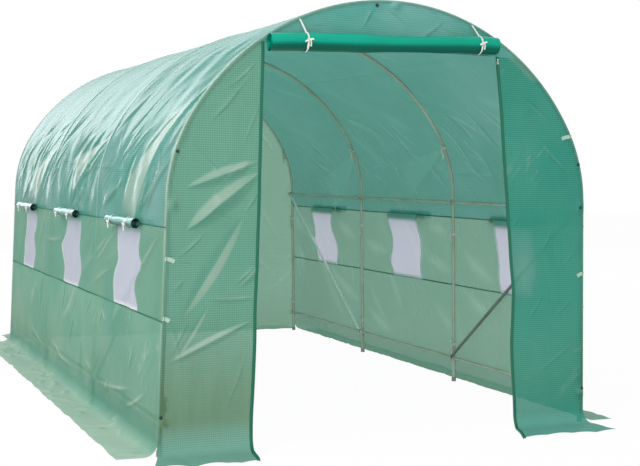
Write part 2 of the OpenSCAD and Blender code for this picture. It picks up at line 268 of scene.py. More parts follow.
def film_material(
        name, colours, film, film_pale, glow, through, clear, pale, scrim, gloss, coat, soil, haze,
        crinkles):
    """Woven-reinforced plastic film: threads, fold marks with painted highlight and shade, dust, gloss, and
    some light through it.
    """
    material, graph = new_graph(name)
    flat, u, v = graph.cut()
    warp, weft = (1 - way.zigzag(THREAD_PITCH / 2).ease(THREAD_CORE, THREAD_EDGE) for way in (u, v))
    threads = weft.greater(warp * 0.7)
    cells = 1 - threads
    clouds = graph.noise(flat, 1.7, 4.0, 0.55)
    streaks = graph.noise(flat, 11.0, 3.0, 0.5, (4.5, 1.0, 1.0), (0, 0, 2.3))
    lines = 1 - (streaks - 0.5).math("ABSOLUTE").ease(0.0, 0.045)
    crinkle = lines * graph.noise(flat, 3.1, 3.0, 0.6).ease(0.5, 0.7) * crinkles
    # Whitening of creases and crinkles, with painted highlight on fold crests and along the hoops
    whitening_and_highlight = graph.mark("crease_and_highlight") * 0.5 + graph.mark("press") * 0.95 + crinkle * 0.24
    deep = tuned(film, 0.34)
    colour = graph.blend(clouds.ease(0.3, 0.72) * 0.55 + pale, list(film), list(film_pale))
    colour = graph.blend(threads * (scrim * 0.45), colour, list(colours.thread))
    colour = graph.blend(cells * scrim, colour, deep)
    height = graph.node("ShaderNodeSeparateXYZ", {}, {0: graph.place()}, 2)
    soiled = (1 - height.ease(0.08, 0.7)) * (height.ease(0.05, 0.15) * 0.92 + 0.08) * soil
    falls = graph.noise(flat, 26.0, 3.0, 0.6, (1.0, 8.0, 1.0)).ease(0.42, 0.68)
    colour = graph.blend(soiled * (clouds * 0.2 + falls * 0.08 + 0.23), colour, list(colours.dust))
    # The shade mark darkens the film: painted shade on fold flanks, skirts and roll undersides, and a darker
    # strip low on the walls
    colour = graph.blend(graph.mark("shade") * 0.5, colour, deep)
    colour = graph.blend(whitening_and_highlight.ease(0.0, 1.0), colour, list(colours.crease_and_highlight))
    normal = graph.bump(crinkle * 0.5 + streaks * 0.6 + threads * 0.1, 0.0026, 0.75)
    body = graph.body(colour, clouds * 0.12 + 0.1 + threads * 0.05, normal, {
        "IOR": FILM_IOR, "Specular IOR Level": gloss, "Coat Weight": graph.mark("gloss") * coat,
        "Coat Roughness": haze, "Coat IOR": FILM_IOR})
    light = graph.node("ShaderNodeBsdfTranslucent", {}, {0: list(glow), 1: normal})
    lit = graph.mix(whitening_and_highlight * 0.22 + through, body, light)
    open_film = graph.node("ShaderNodeBsdfTransparent", {}, {0: CLEAR_TINT})
    graph.output(graph.mix(cells * clear + clear, lit, open_film))
    return material


def binding_material(name, colours):
    """Woven edge tape with a row of stitches along each side."""
    material, graph = new_graph(name)
    _, u, v = graph.cut()
    weave = (u + v).zigzag(0.0012) * 420 + (u - v).zigzag(0.0012) * 420
    stitch = (1 - v.zigzag(0.004).ease(0.0004, 0.0009)) * u.zigzag(0.003).ease(0.0008, 0.0014)
    patchy = graph.noise(graph.place(), 14.0, 4.0)
    pale = tuned(colours.binding, 1.25, 0.002)
    colour = graph.blend(patchy * 0.4 + weave * 0.14, list(colours.binding), pale)
    colour = graph.blend(stitch * 0.15, colour, STITCH_COLOUR)
    normal = graph.bump(weave * 0.4 + stitch * 0.8, 0.0006, 0.7)
    graph.output(graph.body(colour, patchy * 0.2 + 0.42, normal))
    return material


def screen_material(name, colours):
    """Fine insect mesh: a close grid of pale threads that lets a little light and view through."""
    material, graph = new_graph(name)
    flat, u, v = graph.cut()
    gaps = [way.zigzag(MESH_PITCH).ease(0.0003, 0.0007) for way in (u, v)]
    holes = gaps[0] * gaps[1]
    soft = graph.noise(flat, 9.0, 3.0)
    colour = graph.blend(holes * 0.5 + soft * 0.35, list(colours.screen), tuned(colours.screen, 0.8))
    colour = graph.blend(graph.mark("press"), colour, HEM_COLOUR)
    # The shade mark paints the rolled flap seen through the top of the mesh, pale green and less see-through
    colour = graph.blend(graph.mark("shade"), colour, list(colours.film_pale))
    normal = graph.bump(holes * -1.0 + soft * 3.0, 0.0012, 0.5)
    body = graph.body(colour, soft * 0.2 + 0.55, normal)
    glow = graph.node("ShaderNodeBsdfTranslucent", {}, {0: list(colours.screen), 1: normal})
    woven = 1 - (graph.mark("press") + graph.mark("shade")).math("MINIMUM", 1.0)
    lit = graph.mix(woven * 0.5, body, glow)
    open_mesh = graph.node("ShaderNodeBsdfTransparent", {}, {0: WHITE})
    graph.output(graph.mix(woven * 0.08, lit, open_mesh))
    return material


def tape_material(name, colours):
    """White herringbone tape."""
    material, graph = new_graph(name)
    _, u, v = graph.cut()
    ribs = (u + v.zigzag(0.0035)).zigzag(0.0009) * 900
    soil = graph.noise(graph.place(), 40.0, 4.0)
    colour = graph.blend(soil * 0.3 + ribs * 0.16, list(colours.tape), SOILED_TAPE)
    graph.output(graph.body(colour, soil * 0.15 + 0.68, graph.bump(ribs, 0.0004, 0.6)))
    return material


def steel_material(name, colours, rear, front):
    """Galvanised tube with spangle, grain and dull patches, painted light to the rear and painted shade to
    the front.
    """
    material, graph = new_graph(name)
    place = graph.place()
    spangle = graph.node("ShaderNodeTexVoronoi", {"feature": "F1"}, {"Vector": place, "Scale": 150.0})
    dull = graph.noise(place, 9.0, 5.0, 0.6)
    fine = graph.noise(place, 220.0, 2.0)
    colour = graph.blend(dull.ease(0.3, 0.75) * 0.75 + spangle * 0.2, list(colours.steel), DULL_STEEL)
    # Painted light whitens the tubes towards the rear and painted shade darkens them towards the front, by
    # the rear and front shares
    along = graph.node("ShaderNodeSeparateXYZ", {}, {0: place}, 1).ease(-0.2, 0.2)
    colour = graph.blend(along * rear, colour, WHITE)
    colour = graph.blend((1 - along) * front, colour, SHADED_STEEL)
    rough = dull * 0.22 + spangle * 0.12 + 0.3
    graph.output(graph.body(colour, rough, graph.bump(fine, 0.0004, 0.4), {"Metallic": 0.15}))
    return material


def plastic_material(name, colour, grit):
    """Moulded plastic with a fine eroded grain."""
    material, graph = new_graph(name)
    place = graph.place()
    grain = graph.noise(place, 900.0, 2.0)
    wear = graph.noise(place, 60.0, 4.0)
    mixed = graph.blend(wear.ease(0.45, 0.8) * 0.6, list(colour), tuned(colour, 1.7, 0.02))
    graph.output(graph.body(mixed, wear * 0.2 + grit, graph.bump(grain, 0.0003, 0.5)))
    return material


class Arch:
    """Line of the cover over a hoop, by the distance down from the ridge."""

    def __init__(self, sizes, offset=None):
        self.offset = sizes.cover_offset if offset is None else offset
        half = sizes.spring_width / 2
        drop = sizes.spring_height
        self.lean = math.atan((sizes.foot_width - sizes.spring_width) / 2 / drop)
        self.turn = sizes.shoulder_turn
        cos_lean, sin_lean = math.cos(self.lean), math.sin(self.lean)
        share = 1 - sin_lean + cos_lean * math.tan(self.turn) - cos_lean / math.cos(self.turn)
        rise = sizes.ridge_height - drop
        tight = (rise + half * math.tan(self.turn) - half / math.cos(self.turn)) / share
        wide = tight + (half - tight * cos_lean) / math.cos(self.turn)
        self.shoulder = (half - tight * cos_lean, drop - tight * sin_lean)
        self.crown_z = sizes.ridge_height - wide
        self.crown_r = wide + self.offset
        self.shoulder_r = tight + self.offset
        self.fold_z = sizes.fold_height
        self.fold_r = sizes.fold_height - sizes.skirt_rise
        self.fold_x = half + (self.offset + self.fold_r - (self.fold_z - drop) * sin_lean) / cos_lean
        self.crown_run = self.crown_r * (math.pi / 2 - self.turn)
        self.shoulder_run = self.shoulder_r * (self.turn - self.lean)
        start_z = self.shoulder[1] + self.shoulder_r * sin_lean
        end_z = self.fold_z - self.fold_r * sin_lean
        self.leg_run = (start_z - end_z) / cos_lean
        self.leg_start = (self.shoulder[0] + self.shoulder_r * cos_lean, start_z)
        self.fold_run = self.fold_r * (math.pi / 2 - self.lean)
        self.wall_end = self.crown_run + self.shoulder_run + self.leg_run
        self.ground_start = self.wall_end + self.fold_run
        self.end = self.ground_start + sizes.side_reach - self.fold_x

    def run_at(self, z):
        """Distance from the ridge down to a height on the straight leg."""
        return self.crown_run + self.shoulder_run + (self.leg_start[1] - z) / math.cos(self.lean)

    def line(self, run):
        """Place and outward direction in X and Z at distances from the ridge, right side."""
        run = np.asarray(run, float)
        angle = np.pi / 2 - run / self.crown_r
        x = self.crown_r * np.cos(angle)
        z = self.crown_z + self.crown_r * np.sin(angle)
        nx, nz = np.cos(angle), np.sin(angle)
        late = run > self.crown_run
        angle = self.turn - (run - self.crown_run) / self.shoulder_r
        x = np.where(late, self.shoulder[0] + self.shoulder_r * np.cos(angle), x)
        z = np.where(late, self.shoulder[1] + self.shoulder_r * np.sin(angle), z)
        nx, nz = np.where(late, np.cos(angle), nx), np.where(late, np.sin(angle), nz)
        late = run > self.crown_run + self.shoulder_run
        down = run - self.crown_run - self.shoulder_run
        x = np.where(late, self.leg_start[0] + down * math.sin(self.lean), x)
        z = np.where(late, self.leg_start[1] - down * math.cos(self.lean), z)
        nx, nz = np.where(late, math.cos(self.lean), nx), np.where(late, math.sin(self.lean), nz)
        late = run > self.wall_end
        angle = self.lean + (run - self.wall_end) / self.fold_r
        x = np.where(late, self.fold_x - self.fold_r * np.cos(angle), x)
        z = np.where(late, self.fold_z - self.fold_r * np.sin(angle), z)
        nx, nz = np.where(late, np.cos(angle), nx), np.where(late, np.sin(angle), nz)
        late = run > self.ground_start
        x = np.where(late, self.fold_x + run - self.ground_start, x)
        z = np.where(late, self.fold_z - self.fold_r, z)
        return x, z, np.where(late, 0.0, nx), np.where(late, 1.0, nz)

    def width_at(self, z):
        """Half width of the hoop's outline at a height."""
        z = np.asarray(z, float)
        crown = np.sqrt(np.clip(self.crown_r**2 - (z - self.crown_z) ** 2, 0, None))
        bend = np.sqrt(np.clip(self.shoulder_r**2 - (z - self.shoulder[1]) ** 2, 0, None))
        leg = self.leg_start[0] + (self.leg_start[1] - z) * math.tan(self.lean)
        join = self.shoulder[1] + self.shoulder_r * math.sin(self.turn)
        return np.where(z > join, crown, np.where(z > self.leg_start[1], self.shoulder[0] + bend, leg))

    def top_at(self, x):
        """Height of the hoop's crown over a place across."""
        return self.crown_z + np.sqrt(np.clip(self.crown_r**2 - np.asarray(x, float) ** 2, 0, None))


def spaced(start, end, step):
    return np.linspace(start, end, max(2, int(round(abs(end - start) / step)) + 1))


def hoop_places(sizes):
    return [sizes.length * (i / 3 - 0.5) for i in range(4)]


def end_face(sizes):
    """Distance of the end walls from the middle of the tunnel."""
    return sizes.length / 2 + sizes.cover_offset


WALL_FINENESS = 0.62
HOOP_STEPS = (-0.018, -0.009, -0.0045, 0.0, 0.0045, 0.009, 0.018)


def film_columns(sizes, start, end, fineness=1.0):
    """Places along the tunnel, closer together over the hoops."""
    columns = list(spaced(start, end, sizes.grid * fineness))
    for hoop in hoop_places(sizes):
        for step in HOOP_STEPS:
            if start + 0.002 < hoop + step < end - 0.002:
                columns = [c for c in columns if abs(c - hoop - step) > 0.004 or c in (start, end)]
                columns.append(hoop + step)
    return np.array(sorted(columns))


def fold_lines(a, b, rows, sharp=3.0):
    """Height, whitening with painted highlight, and painted shade of folds; rows: two ends, half width,
    height, bow.
    """
    height, mark, shade = np.zeros((3, *a.shape))
    for a0, b0, a1, b1, width, lift, bow in rows:
        run = math.hypot(a1 - a0, b1 - b0)
        ca, cb = (a1 - a0) / run, (b1 - b0) / run
        along = (a - a0) * ca + (b - b0) * cb
        aside = (b - b0) * ca - (a - a0) * cb
        near = (along > 0) & (along < run) & (np.abs(aside) < width + abs(bow))
        t = along[near] / run
        taper = np.sin(np.pi * t) ** 0.75
        off = (aside[near] - bow * 4 * t * (1 - t)) / (width * (0.3 + 0.7 * taper))
        crest = np.clip(1 - np.abs(off), 0, 1) ** 1.6
        height[near] += lift * taper * crest
        strong = taper * min(1.0, abs(lift) / 0.005)
        mark[near] = np.maximum(mark[near], strong * crest**sharp)
        shade[near] = np.maximum(shade[near], strong * np.exp(-(((off * np.sign(lift) - 0.5) / 0.27) ** 2)))
    return height, mark, shade


def pull_bands(a, b, rows):
    """Height and painted highlight of drawn bands: each row gives two ends, width of its long face, and
    height.
    """
    height, mark = np.zeros(a.shape), np.zeros(a.shape)
    for a0, b0, a1, b1, width, lift in rows:
        run = math.hypot(a1 - a0, b1 - b0)
        ca, cb = (a1 - a0) / run, (b1 - b0) / run
        t = np.clip(((a - a0) * ca + (b - b0) * cb) / run, -0.2, 1)
        off = ((b - b0) * ca - (a - a0) * cb) / (width * (1 - np.clip(t, 0, 1)) + 0.004)
        face = np.where(off > 0, 1 - off * 4.0, 1 + off)
        fade = np.clip((t + 0.2) / 0.2, 0, 1) * np.clip((1 - t) / 0.15, 0, 1)
        height += lift * (1 - 0.6 * np.clip(t, 0, 1)) * np.clip(face, 0, 1) * fade
        inside = np.clip((1 + off) / 0.12, 0, 1) * np.clip((0.06 - off) / 0.06, 0, 1)
        mark = np.maximum(mark, 0.95 * inside * fade)
    return height, mark


def ripples(a, b, rng, count, short, long, height):
    """Even mixed waves over a flat cut."""
    total = np.zeros(a.shape)
    for _ in range(count):
        wave = rng.uniform(short, long)
        bearing = rng.uniform(0, math.pi)
        phase = rng.uniform(0, 2 * math.pi)
        total += np.sin((a * math.cos(bearing) + b * math.sin(bearing)) * 2 * math.pi / wave + phase)
    return total * height / math.sqrt(count)


def facet_folds(a, b, rows):
    """Height, painted light and painted shade of tent folds by their ends, half width, height and pale side.
    """
    height, mark, shade = np.zeros((3, *a.shape))
    for a0, b0, a1, b1, width, lift, pale_side in rows:
        run = math.hypot(a1 - a0, b1 - b0)
        ca, cb = (a1 - a0) / run, (b1 - b0) / run
        t = ((a - a0) * ca + (b - b0) * cb) / run
        taper = np.sin(np.pi * np.clip(t, 0, 1)) ** 0.7
        aside = ((b - b0) * ca - (a - a0) * cb) * pale_side
        off = aside / (width * (0.12 + 0.88 * taper))
        tent = np.clip(1 - np.abs(off), 0, 1) * (taper > 0)
        height += lift * taper * tent
        strong = taper**0.5
        mark = np.maximum(mark, 0.95 * strong * np.clip(off / 0.1, 0, 1) * np.clip(tent / 0.3, 0, 1))
        shade = np.maximum(shade, 0.8 * strong * np.clip(-off / 0.1, 0, 1) * np.clip(tent / 0.5, 0, 1))
    return height, mark, shade


def drawn_fold(rng, spans, side, rear, bay, stop=None, raised=1.0, crossed=0.0):
    """A fold row: its ends, width, height and bow, from random draws in the order of the spans."""
    drawn = {key: rng.uniform(*span) for key, span in spans.items()}
    bearing = math.radians(drawn["bearing"])
    low, run, lift = drawn["low"], drawn["run"], drawn["lift"]
    if stop is not None:
        run = min(run, (low - stop) / math.sin(bearing))
    hand = -side if drawn.get("crossing", 1.0) < crossed else side
    if drawn.get("rising", 0.0) >= raised:
        lift = -lift
    start = rear - drawn["back"] * bay
    return (low, start, low - run * math.sin(bearing), start + hand * run * math.cos(bearing),
            drawn["width"], lift, drawn["bow"])


def bay_folds(seam):
    """Kinds of fold in a bay: count, least distance from the ridge, shares raised and crossed, spans."""
    chance = (0, 1)
    return (
        (9, 0.9, 0.7, 0.0, {
            "low": (1.12, seam - 0.01), "bearing": (18, 70), "run": (0.2, 0.5), "back": (-0.05, 0.8),
            "lift": (0.006, 0.012), "rising": chance, "width": (0.026, 0.055), "bow": (-0.03, 0.03)}),
        (26, 0.85, 0.75, 0.14, {
            "low": (1.05, seam - 0.02), "bearing": (20, 66), "crossing": chance, "run": (0.1, 0.34),
            "back": (0.0, 0.95), "lift": (0.0025, 0.006), "rising": chance, "width": (0.014, 0.026),
            "bow": (-0.015, 0.015)}),
        (9, None, 0.4, 0.0, {
            "low": (0.2, 1.05), "bearing": (8, 34), "run": (0.2, 0.6), "back": (0.0, 0.8),
            "lift": (0.0014, 0.0028), "rising": chance, "width": (0.010, 0.020), "bow": (-0.02, 0.02)}),
        (12, None, 1.0, 0.0, {
            "low": (seam + 0.03, seam + 0.78), "run": (0.1, 0.36), "bearing": (40, 110),
            "back": (0.05, 0.95), "width": (0.014, 0.030), "lift": (0.002, 0.0048),
            "bow": (-0.02, 0.02)}),
    )


def bay_streaks(seam):
    """Spans of the draws for the broad streaks in a bay."""
    return {"low": (0.75, seam + 0.75), "run": (0.3, 0.75), "bearing": (22, 55), "back": (0.0, 1.0),
            "width": (0.045, 0.11), "lift": (0.002, 0.0045), "bow": (-0.04, 0.04)}


STREAKS_IN_BAY = 11
SKIRT_CRUMPLES = 90
PACKING_FOLDS = (
    (1.268, 0.75, 1.345, -1.35, 0.016, 0.0055, 0.004), (0.62, 1.7, 0.6, -1.7, 0.016, 0.003, 0.004),
)
# Place along and height of both ends of the broad folds on the right wall and the creases on the left.
WALL_GLEAMS = (
    (1.004, 0.860, 0.675, 0.736), (0.598, 0.741, 0.182, 0.677), (-0.233, 0.704, -0.575, 0.610),
    (-0.644, 0.759, -1.022, 0.573), (1.104, 0.522, 0.632, 0.319), (0.529, 0.296, 0.138, 0.167),
    (1.690, 0.640, 1.525, 0.515), (-0.520, 0.821, -0.268, 0.858), (-0.690, 0.520, -0.944, 0.408),
)
WALL_CREASES = (
    (-0.864, 0.851, -0.379, 0.651), (-0.938, 0.703, -0.462, 0.566), (-1.690, 0.890, -1.322, 0.684),
    (-0.499, 0.678, -0.999, 0.900), (0.776, 0.758, 0.155, 0.785), (-0.750, 0.504, -0.842, 0.445),
    (-0.417, 0.230, -0.703, 0.138), (-0.703, 0.138, -1.338, 0.208), (-1.220, 0.110, -1.568, 0.235),
    (0.420, 0.190, -0.120, 0.118), (1.060, 0.220, 0.640, 0.130),
)


class FilmRelief:
    """How far the film stands off its even line: slack, pull lines, packing folds and puckers."""

    def __init__(self, sizes, arch, side):
        self.sizes, self.arch, self.side = sizes, arch, side
        rng = np.random.default_rng(41 if side < 0 else 87)
        seam = arch.run_at(sizes.band_high)
        bay = sizes.length / 3
        self.rows, self.streaks = [], []
        for rear in hoop_places(sizes)[1:]:
            for count, stop, raised, crossed, spans in bay_folds(seam):
                for _ in range(count):
                    self.rows.append(drawn_fold(rng, spans, side, rear, bay, stop, raised, crossed))
            for _ in range(STREAKS_IN_BAY):
                self.streaks.append(drawn_fold(rng, bay_streaks(seam), side, rear, bay))
        self.rows += PACKING_FOLDS
        crumple = {
            "low": (arch.wall_end - 0.03, arch.end), "bearing": (0, 180), "run": (0.05, 0.2),
            "back": (-0.5, 0.5), "width": (0.018, 0.045), "lift": (0.005, 0.014), "bow": (-0.02, 0.02)}
        self.crumples = [drawn_fold(rng, crumple, 1, 0.0, -sizes.length) for _ in range(SKIRT_CRUMPLES)]
        self.bands = [
            (seam - 0.01, -1.30, 0.94, -1.735, 0.26, 0.016), (seam - 0.14, -0.10, 1.18, -0.55, 0.20, 0.011),
            (seam - 0.02, 0.987, 1.20, 0.60, 0.28, 0.012)]
        wide, lift, places = (0.026, 0.0050, WALL_CREASES) if side < 0 else (0.065, 0.0044, WALL_GLEAMS)
        self.creases = [
            (arch.run_at(z0), y0, arch.run_at(z1), y1, wide, lift, 0.012) for y0, z0, y1, z1 in places]
        self.seed = 7 if side < 0 else 19

    def at(self, run, y):
        """Stand-off, whitening and painted highlights of folds and tubes, and painted shade, at distances
        from the ridge and places along.
        """
        arch, sizes = self.arch, self.sizes
        run, y = np.broadcast_arrays(np.asarray(run, float), np.asarray(y, float))
        bay = sizes.length / 3
        part = np.clip((y + sizes.length / 2) / bay, 0, 3) % 1.0
        bow = (1 - (2 * part - 1) ** 2) ** 0.85
        deep = np.interp(run, [0, 1.1, 1.45, 1.6, 2.4], [0.5, 0.75, 0.6, 0.5, 0.2])
        gap = np.min([np.abs(y - hoop) for hoop in hoop_places(sizes)], axis=0)
        clear = 1 - np.exp(-((gap / 0.035) ** 2))
        lines, mark, shade = fold_lines(run, y, self.rows)
        soft, pale, _ = fold_lines(run, y, self.streaks, 1.0)
        bent, whitening_and_highlight, _ = fold_lines(run, y, self.creases, 1.5 if self.side < 0 else 0.7)
        lines, mark = lines + bent, np.maximum(mark, whitening_and_highlight)
        drawn, drawn_mark = pull_bands(run, y, self.bands)
        calm = 1 - np.clip(drawn_mark * 1.2, 0, 1)
        still = np.interp(run, [0.5, 0.95, 1.2, 1.6, 1.7], [0.12, 0.27, 0.5, 0.62, 1.0])
        lines = (lines + soft) * (0.3 + 0.7 * calm) * still + drawn
        # Painted highlight: pale marks of the drawn bands, full on the left and weaker on the right, and of
        # the broad streaks
        drawn_mark = drawn_mark * (1.0 if self.side < 0 else 0.4)
        mark, shade = np.maximum(np.maximum(mark * calm, pale * 0.75), drawn_mark), shade * calm
        rng = np.random.default_rng(self.seed)
        upper = np.clip((1.62 - run) / 0.25, 0, 1)
        waves = ripples(run, y, rng, 9, 0.14, 0.4, 0.0013) * (0.35 + 0.65 * upper) * (0.4 + 0.6 * still)
        drape = ripples(run * 0.25, y, rng, 6, 0.16, 0.5, 0.0028) * (1 - upper * 0.6)
        drape = drape * np.interp(run, [0.4, 1.0], [0.35, 1.0])
        seams = [arch.run_at(sizes.band_high), arch.run_at(sizes.band_low)]
        seam_gap = np.min([np.abs(run - s) for s in seams], axis=0)
        gathers = np.sin(y * 2 * np.pi / 0.041 + 2 * np.sin(y * 9))
        pucker = 0.0013 * gathers * np.exp(-((seam_gap / 0.03) ** 2))
        stand = -sizes.slack * bow * deep + clear * (lines + waves + drape + pucker)
        stand += 0.0012 * np.exp(-((gap / 0.008) ** 2))
        ground = np.clip((run - arch.wall_end) / arch.fold_run, 0, 1)
        flow = ripples(run * 0.3, y, rng, 7, 0.14, 0.6, 0.006)
        edge = np.clip((run - arch.ground_start) / 0.08, 0, 1)
        rumple, rumple_mark, rumple_shade = fold_lines(run, y, self.crumples, 1.3)
        stand = stand * (1 - ground) + ground * (np.abs(flow) * (0.35 + 0.65 * edge) + rumple)
        # Painted highlight along the hoops, strongest partway down the roof and wider on the end hoops, with
        # the film also whitened over the tube
        outer = (np.abs(y) > sizes.length / 2 - 0.06).astype(float)
        shine = np.interp(run, [0, 0.7, 1.05, 1.5, 1.8, 2.3], [0.3, 0.55, 0.8, 0.75, 0.3, 0.08])
        shine += outer * np.interp(run, [0, 0.6, 0.9, 1.5, 1.75, 2.3], [0.3, 0.4, 0.5, 0.5, 0.15, 0.0])
        press = np.exp(-((gap / (0.006 + 0.005 * outer)) ** 2)) * shine
        # Painted highlight on the crests of the skirt's crumples
        mark = mark * clear * (1 - ground) + 0.6 * rumple_mark * ground
        # On the left the wall is paler towards the rear and darker towards the front, and the skirt is pale
        if self.side < 0:
            wall = np.clip((run - seams[0]) / 0.05, 0, 1) * (1 - ground)
            mark = np.maximum(mark, 0.22 * np.clip((y - 0.1) / 1.3, 0, 1) * wall + 0.85 * ground)
            shade = np.maximum(shade, 0.4 * np.clip((-0.35 - y) / 0.8, 0, 1) * wall)
        # A darker strip low on the walls, and painted shade on the skirts and on the flanks of their crumples
        low = np.clip((0.134 - arch.line(run)[1]) / 0.014, 0, 1) * (1 - ground)
        deep_wall, deep_skirt = (0.4, 0.0) if self.side < 0 else (0.9, 0.5)
        shade = shade * clear * (1 - ground) + (deep_skirt + 0.5 * rumple_shade) * ground + deep_wall * low
        return stand, mark, press, shade

    def points(self, run, y, inset=0.0):
        """Points of the film, with its marks, for grids of distances and places along."""
        stand, mark, press, shade = self.at(run, y)
        x, z, nx, nz = self.arch.line(run)
        out = stand - inset
        points = np.stack([self.side * (x + nx * out), y, z + nz * out], -1)
        return points, mark, press, shade


class Patch:
    """A grid of points with its flat cut and marks."""

    def __init__(self, points, cut, crease_and_highlight=None, press=None, shade=None, turned=False):
        self.points, self.cut, self.turned = points, cut, turned
        blank = np.zeros(points.shape[:2])
        given = {"crease_and_highlight": crease_and_highlight, "press": press, "shade": shade}
        self.marks = {key: blank if values is None else values for key, values in given.items()}
        self.marks["gloss"] = blank + 1


def lay_sheet(name, patches):
    """Make one smooth piece from grid patches."""
    faces = []
    start = 0
    for patch in patches:
        rows, columns = patch.points.shape[:2]
        index = np.arange(rows * columns).reshape(rows, columns) + start
        corners = [index[:-1, :-1], index[:-1, 1:], index[1:, 1:], index[1:, :-1]]
        quads = np.stack(corners, -1).reshape(-1, 4)
        faces.append(quads[:, ::-1] if patch.turned else quads)
        start += rows * columns
    verts = np.concatenate([patch.points.reshape(-1, 3) for patch in patches])
    cut = np.concatenate([patch.cut.reshape(-1, 2) for patch in patches])
    marks = {key: np.concatenate([patch.marks[key].reshape(-1) for patch in patches])
             for key in patches[0].marks}
    return mesh_piece(name, verts, np.concatenate(faces), cut, marks)


def mesh_piece(name, verts, faces, cut, marks=None):
    """A smooth mesh with its flat cut as UV map and its marks as attributes."""
    mesh = bpy.data.meshes.new(name)
    mesh.from_pydata(verts.tolist(), [], np.asarray(faces).tolist())
    loops = np.zeros(len(mesh.loops), np.int32)
    mesh.loops.foreach_get("vertex_index", loops)
    layer = mesh.uv_layers.new(name="cut")
    layer.data.foreach_set("uv", cut[loops].astype(np.float32).reshape(-1))
    for key, values in (marks or {}).items():
        mesh.attributes.new(key, "FLOAT", "POINT").data.foreach_set("value", values.astype(np.float32))
    mesh.validate()
    mesh.shade_smooth()
    piece = bpy.data.objects.new(name, mesh)
    bpy.context.scene.collection.objects.link(piece)
    return piece


def fit(piece, material, slot, *nodes):
    """Give a piece its finish and its place on the frame, and hide the solids that it stands for."""
    piece.data.materials.clear()
    piece.data.materials.append(material)
    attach(piece, "root")
    if nodes:
        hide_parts(*nodes)
    return piece


def sheet_area(patches):
    """Flat area of grid patches, from their cuts."""
    total = 0.0
    for patch in patches:
        c = patch.cut
        one, two = c[1:, 1:] - c[:-1, :-1], c[1:, :-1] - c[:-1, 1:]
        total += float(np.abs(one[..., 0] * two[..., 1] - one[..., 1] * two[..., 0]).sum() / 2)
    return total


def tape_grid(path, across, width, thick):
    """Closed flat tape along a path: points, faces and flat cut."""
    path, across = np.asarray(path, float), np.asarray(across, float)
    if across.ndim == 1:
        across = np.repeat(across[None], len(path), 0)
    ahead = np.gradient(path, axis=0)
    ahead /= np.linalg.norm(ahead, axis=1)[:, None] + 1e-12
    across = across - ahead * (across * ahead).sum(1)[:, None]
    across /= np.linalg.norm(across, axis=1)[:, None] + 1e-12
    face = np.cross(ahead, across)
    w, t = across * width / 2, face * thick / 2
    ring = np.stack([path - w - t, path + w - t, path + w + t, path - w + t], 1)
    count = len(path)
    faces = []
    for i in range(count - 1):
        for k in range(4):
            n = (k + 1) % 4
            faces.append((i * 4 + k, i * 4 + n, i * 4 + 4 + n, i * 4 + 4 + k))
    faces.append((3, 2, 1, 0))
    last = (count - 1) * 4
    faces.append((last, last + 1, last + 2, last + 3))
    run = np.concatenate([[0], np.cumsum(np.linalg.norm(np.diff(path, axis=0), axis=1))])
    cut = np.stack([np.repeat(run, 4), np.tile([0, width, width, 0], count)], -1)
    return ring.reshape(-1, 3), faces, cut


def tape_piece(name, tapes):
    """One piece of several tapes, each a path, the direction across it, a width and a thickness."""
    verts, faces, cuts = [], [], []
    start = 0
    for path, across, width, thick in tapes:
        points, quads, cut = tape_grid(path, across, width, thick)
        verts.append(points)
        cuts.append(cut)
        faces += [tuple(i + start for i in quad) for quad in quads]
        start += len(points)
    piece = mesh_piece(name, np.concatenate(verts), np.array(faces), np.concatenate(cuts))
    bpy.ops.object.select_all(action="DESELECT")
    piece.select_set(True)
    bpy.context.view_layer.objects.active = piece
    bpy.ops.object.shade_smooth_by_angle(angle=math.radians(40))
    return piece


def smooth_path(knots, count):
    """Even points on a smooth line through knots."""
    knots = np.asarray(knots, float)
    padded = np.vstack([2 * knots[0] - knots[1], knots, 2 * knots[-1] - knots[-2]])
    out = []
    spans = len(knots) - 1
    for t in np.linspace(0, spans, count):
        i = min(int(t), spans - 1)
        f = t - i
        p0, p1, p2, p3 = padded[i:i + 4]
        out.append(0.5 * (2 * p1 + (p2 - p0) * f + (2 * p0 - 5 * p1 + 4 * p2 - p3) * f**2
                          + (3 * p1 - p0 - 3 * p2 + p3) * f**3))
    return np.array(out)


# Points of a bow's loop, along the bow, out from it and down.
BOW_LOOP = (
    (0, 0.1, 0), (0.45, 0.42, 0.1), (0.95, 0.36, 0.42), (1.0, 0.1, 0.5), (0.6, 0.02, 0.25), (0, 0.04, 0),
)


def bow_tapes(centre, along, out, size, width, thick, rng):
    """A tied bow: two loops, two tails that hang down, and the knot round them."""
    centre, along, out = (np.asarray(x, float) for x in (centre, along, out))
    along = along / np.linalg.norm(along)
    out = out / np.linalg.norm(out)
    over = np.cross(along, out)
    down = np.array([0.0, 0.0, -1.0])
    tapes = []
    for hand in (-1, 1):
        reach = size * rng.uniform(0.85, 1.15)
        dip = rng.uniform(0.15, 0.5) * size
        knots = [
            centre + hand * along * reach * a + out * size * b + down * dip * c for a, b, c in BOW_LOOP]
        tapes.append((smooth_path(knots, 22), over + 0.35 * out, width, thick))
        drop = rng.uniform(1.3, 1.9)
        wide = rng.uniform(0.2, 0.6)
        tail = [(0, 0.12, 0), (0.22, 0.3, 0.25), (0.36, 0.2, 0.85), (wide, 0.16, drop)]
        knots = [
            centre + hand * along * size * a + out * size * b + down * size * c for a, b, c in tail]
        tapes.append((smooth_path(knots, 16), np.cross(down, out) + 0.2 * hand * down, width, thick))
    wrap = width * 0.42
    angles = np.linspace(0, 2 * np.pi, 17)
    knot = [
        centre + out * (size * 0.12 + wrap * np.cos(a)) + over * wrap * 1.1 * np.sin(a) for a in angles]
    tapes.append((np.array(knot), along, width * 0.9, thick * 1.6))
    return tapes


def tunnel(context):
    sizes = context.scene.tunnel_sizes
    return sizes, context.scene.tunnel_colours, Arch(sizes)
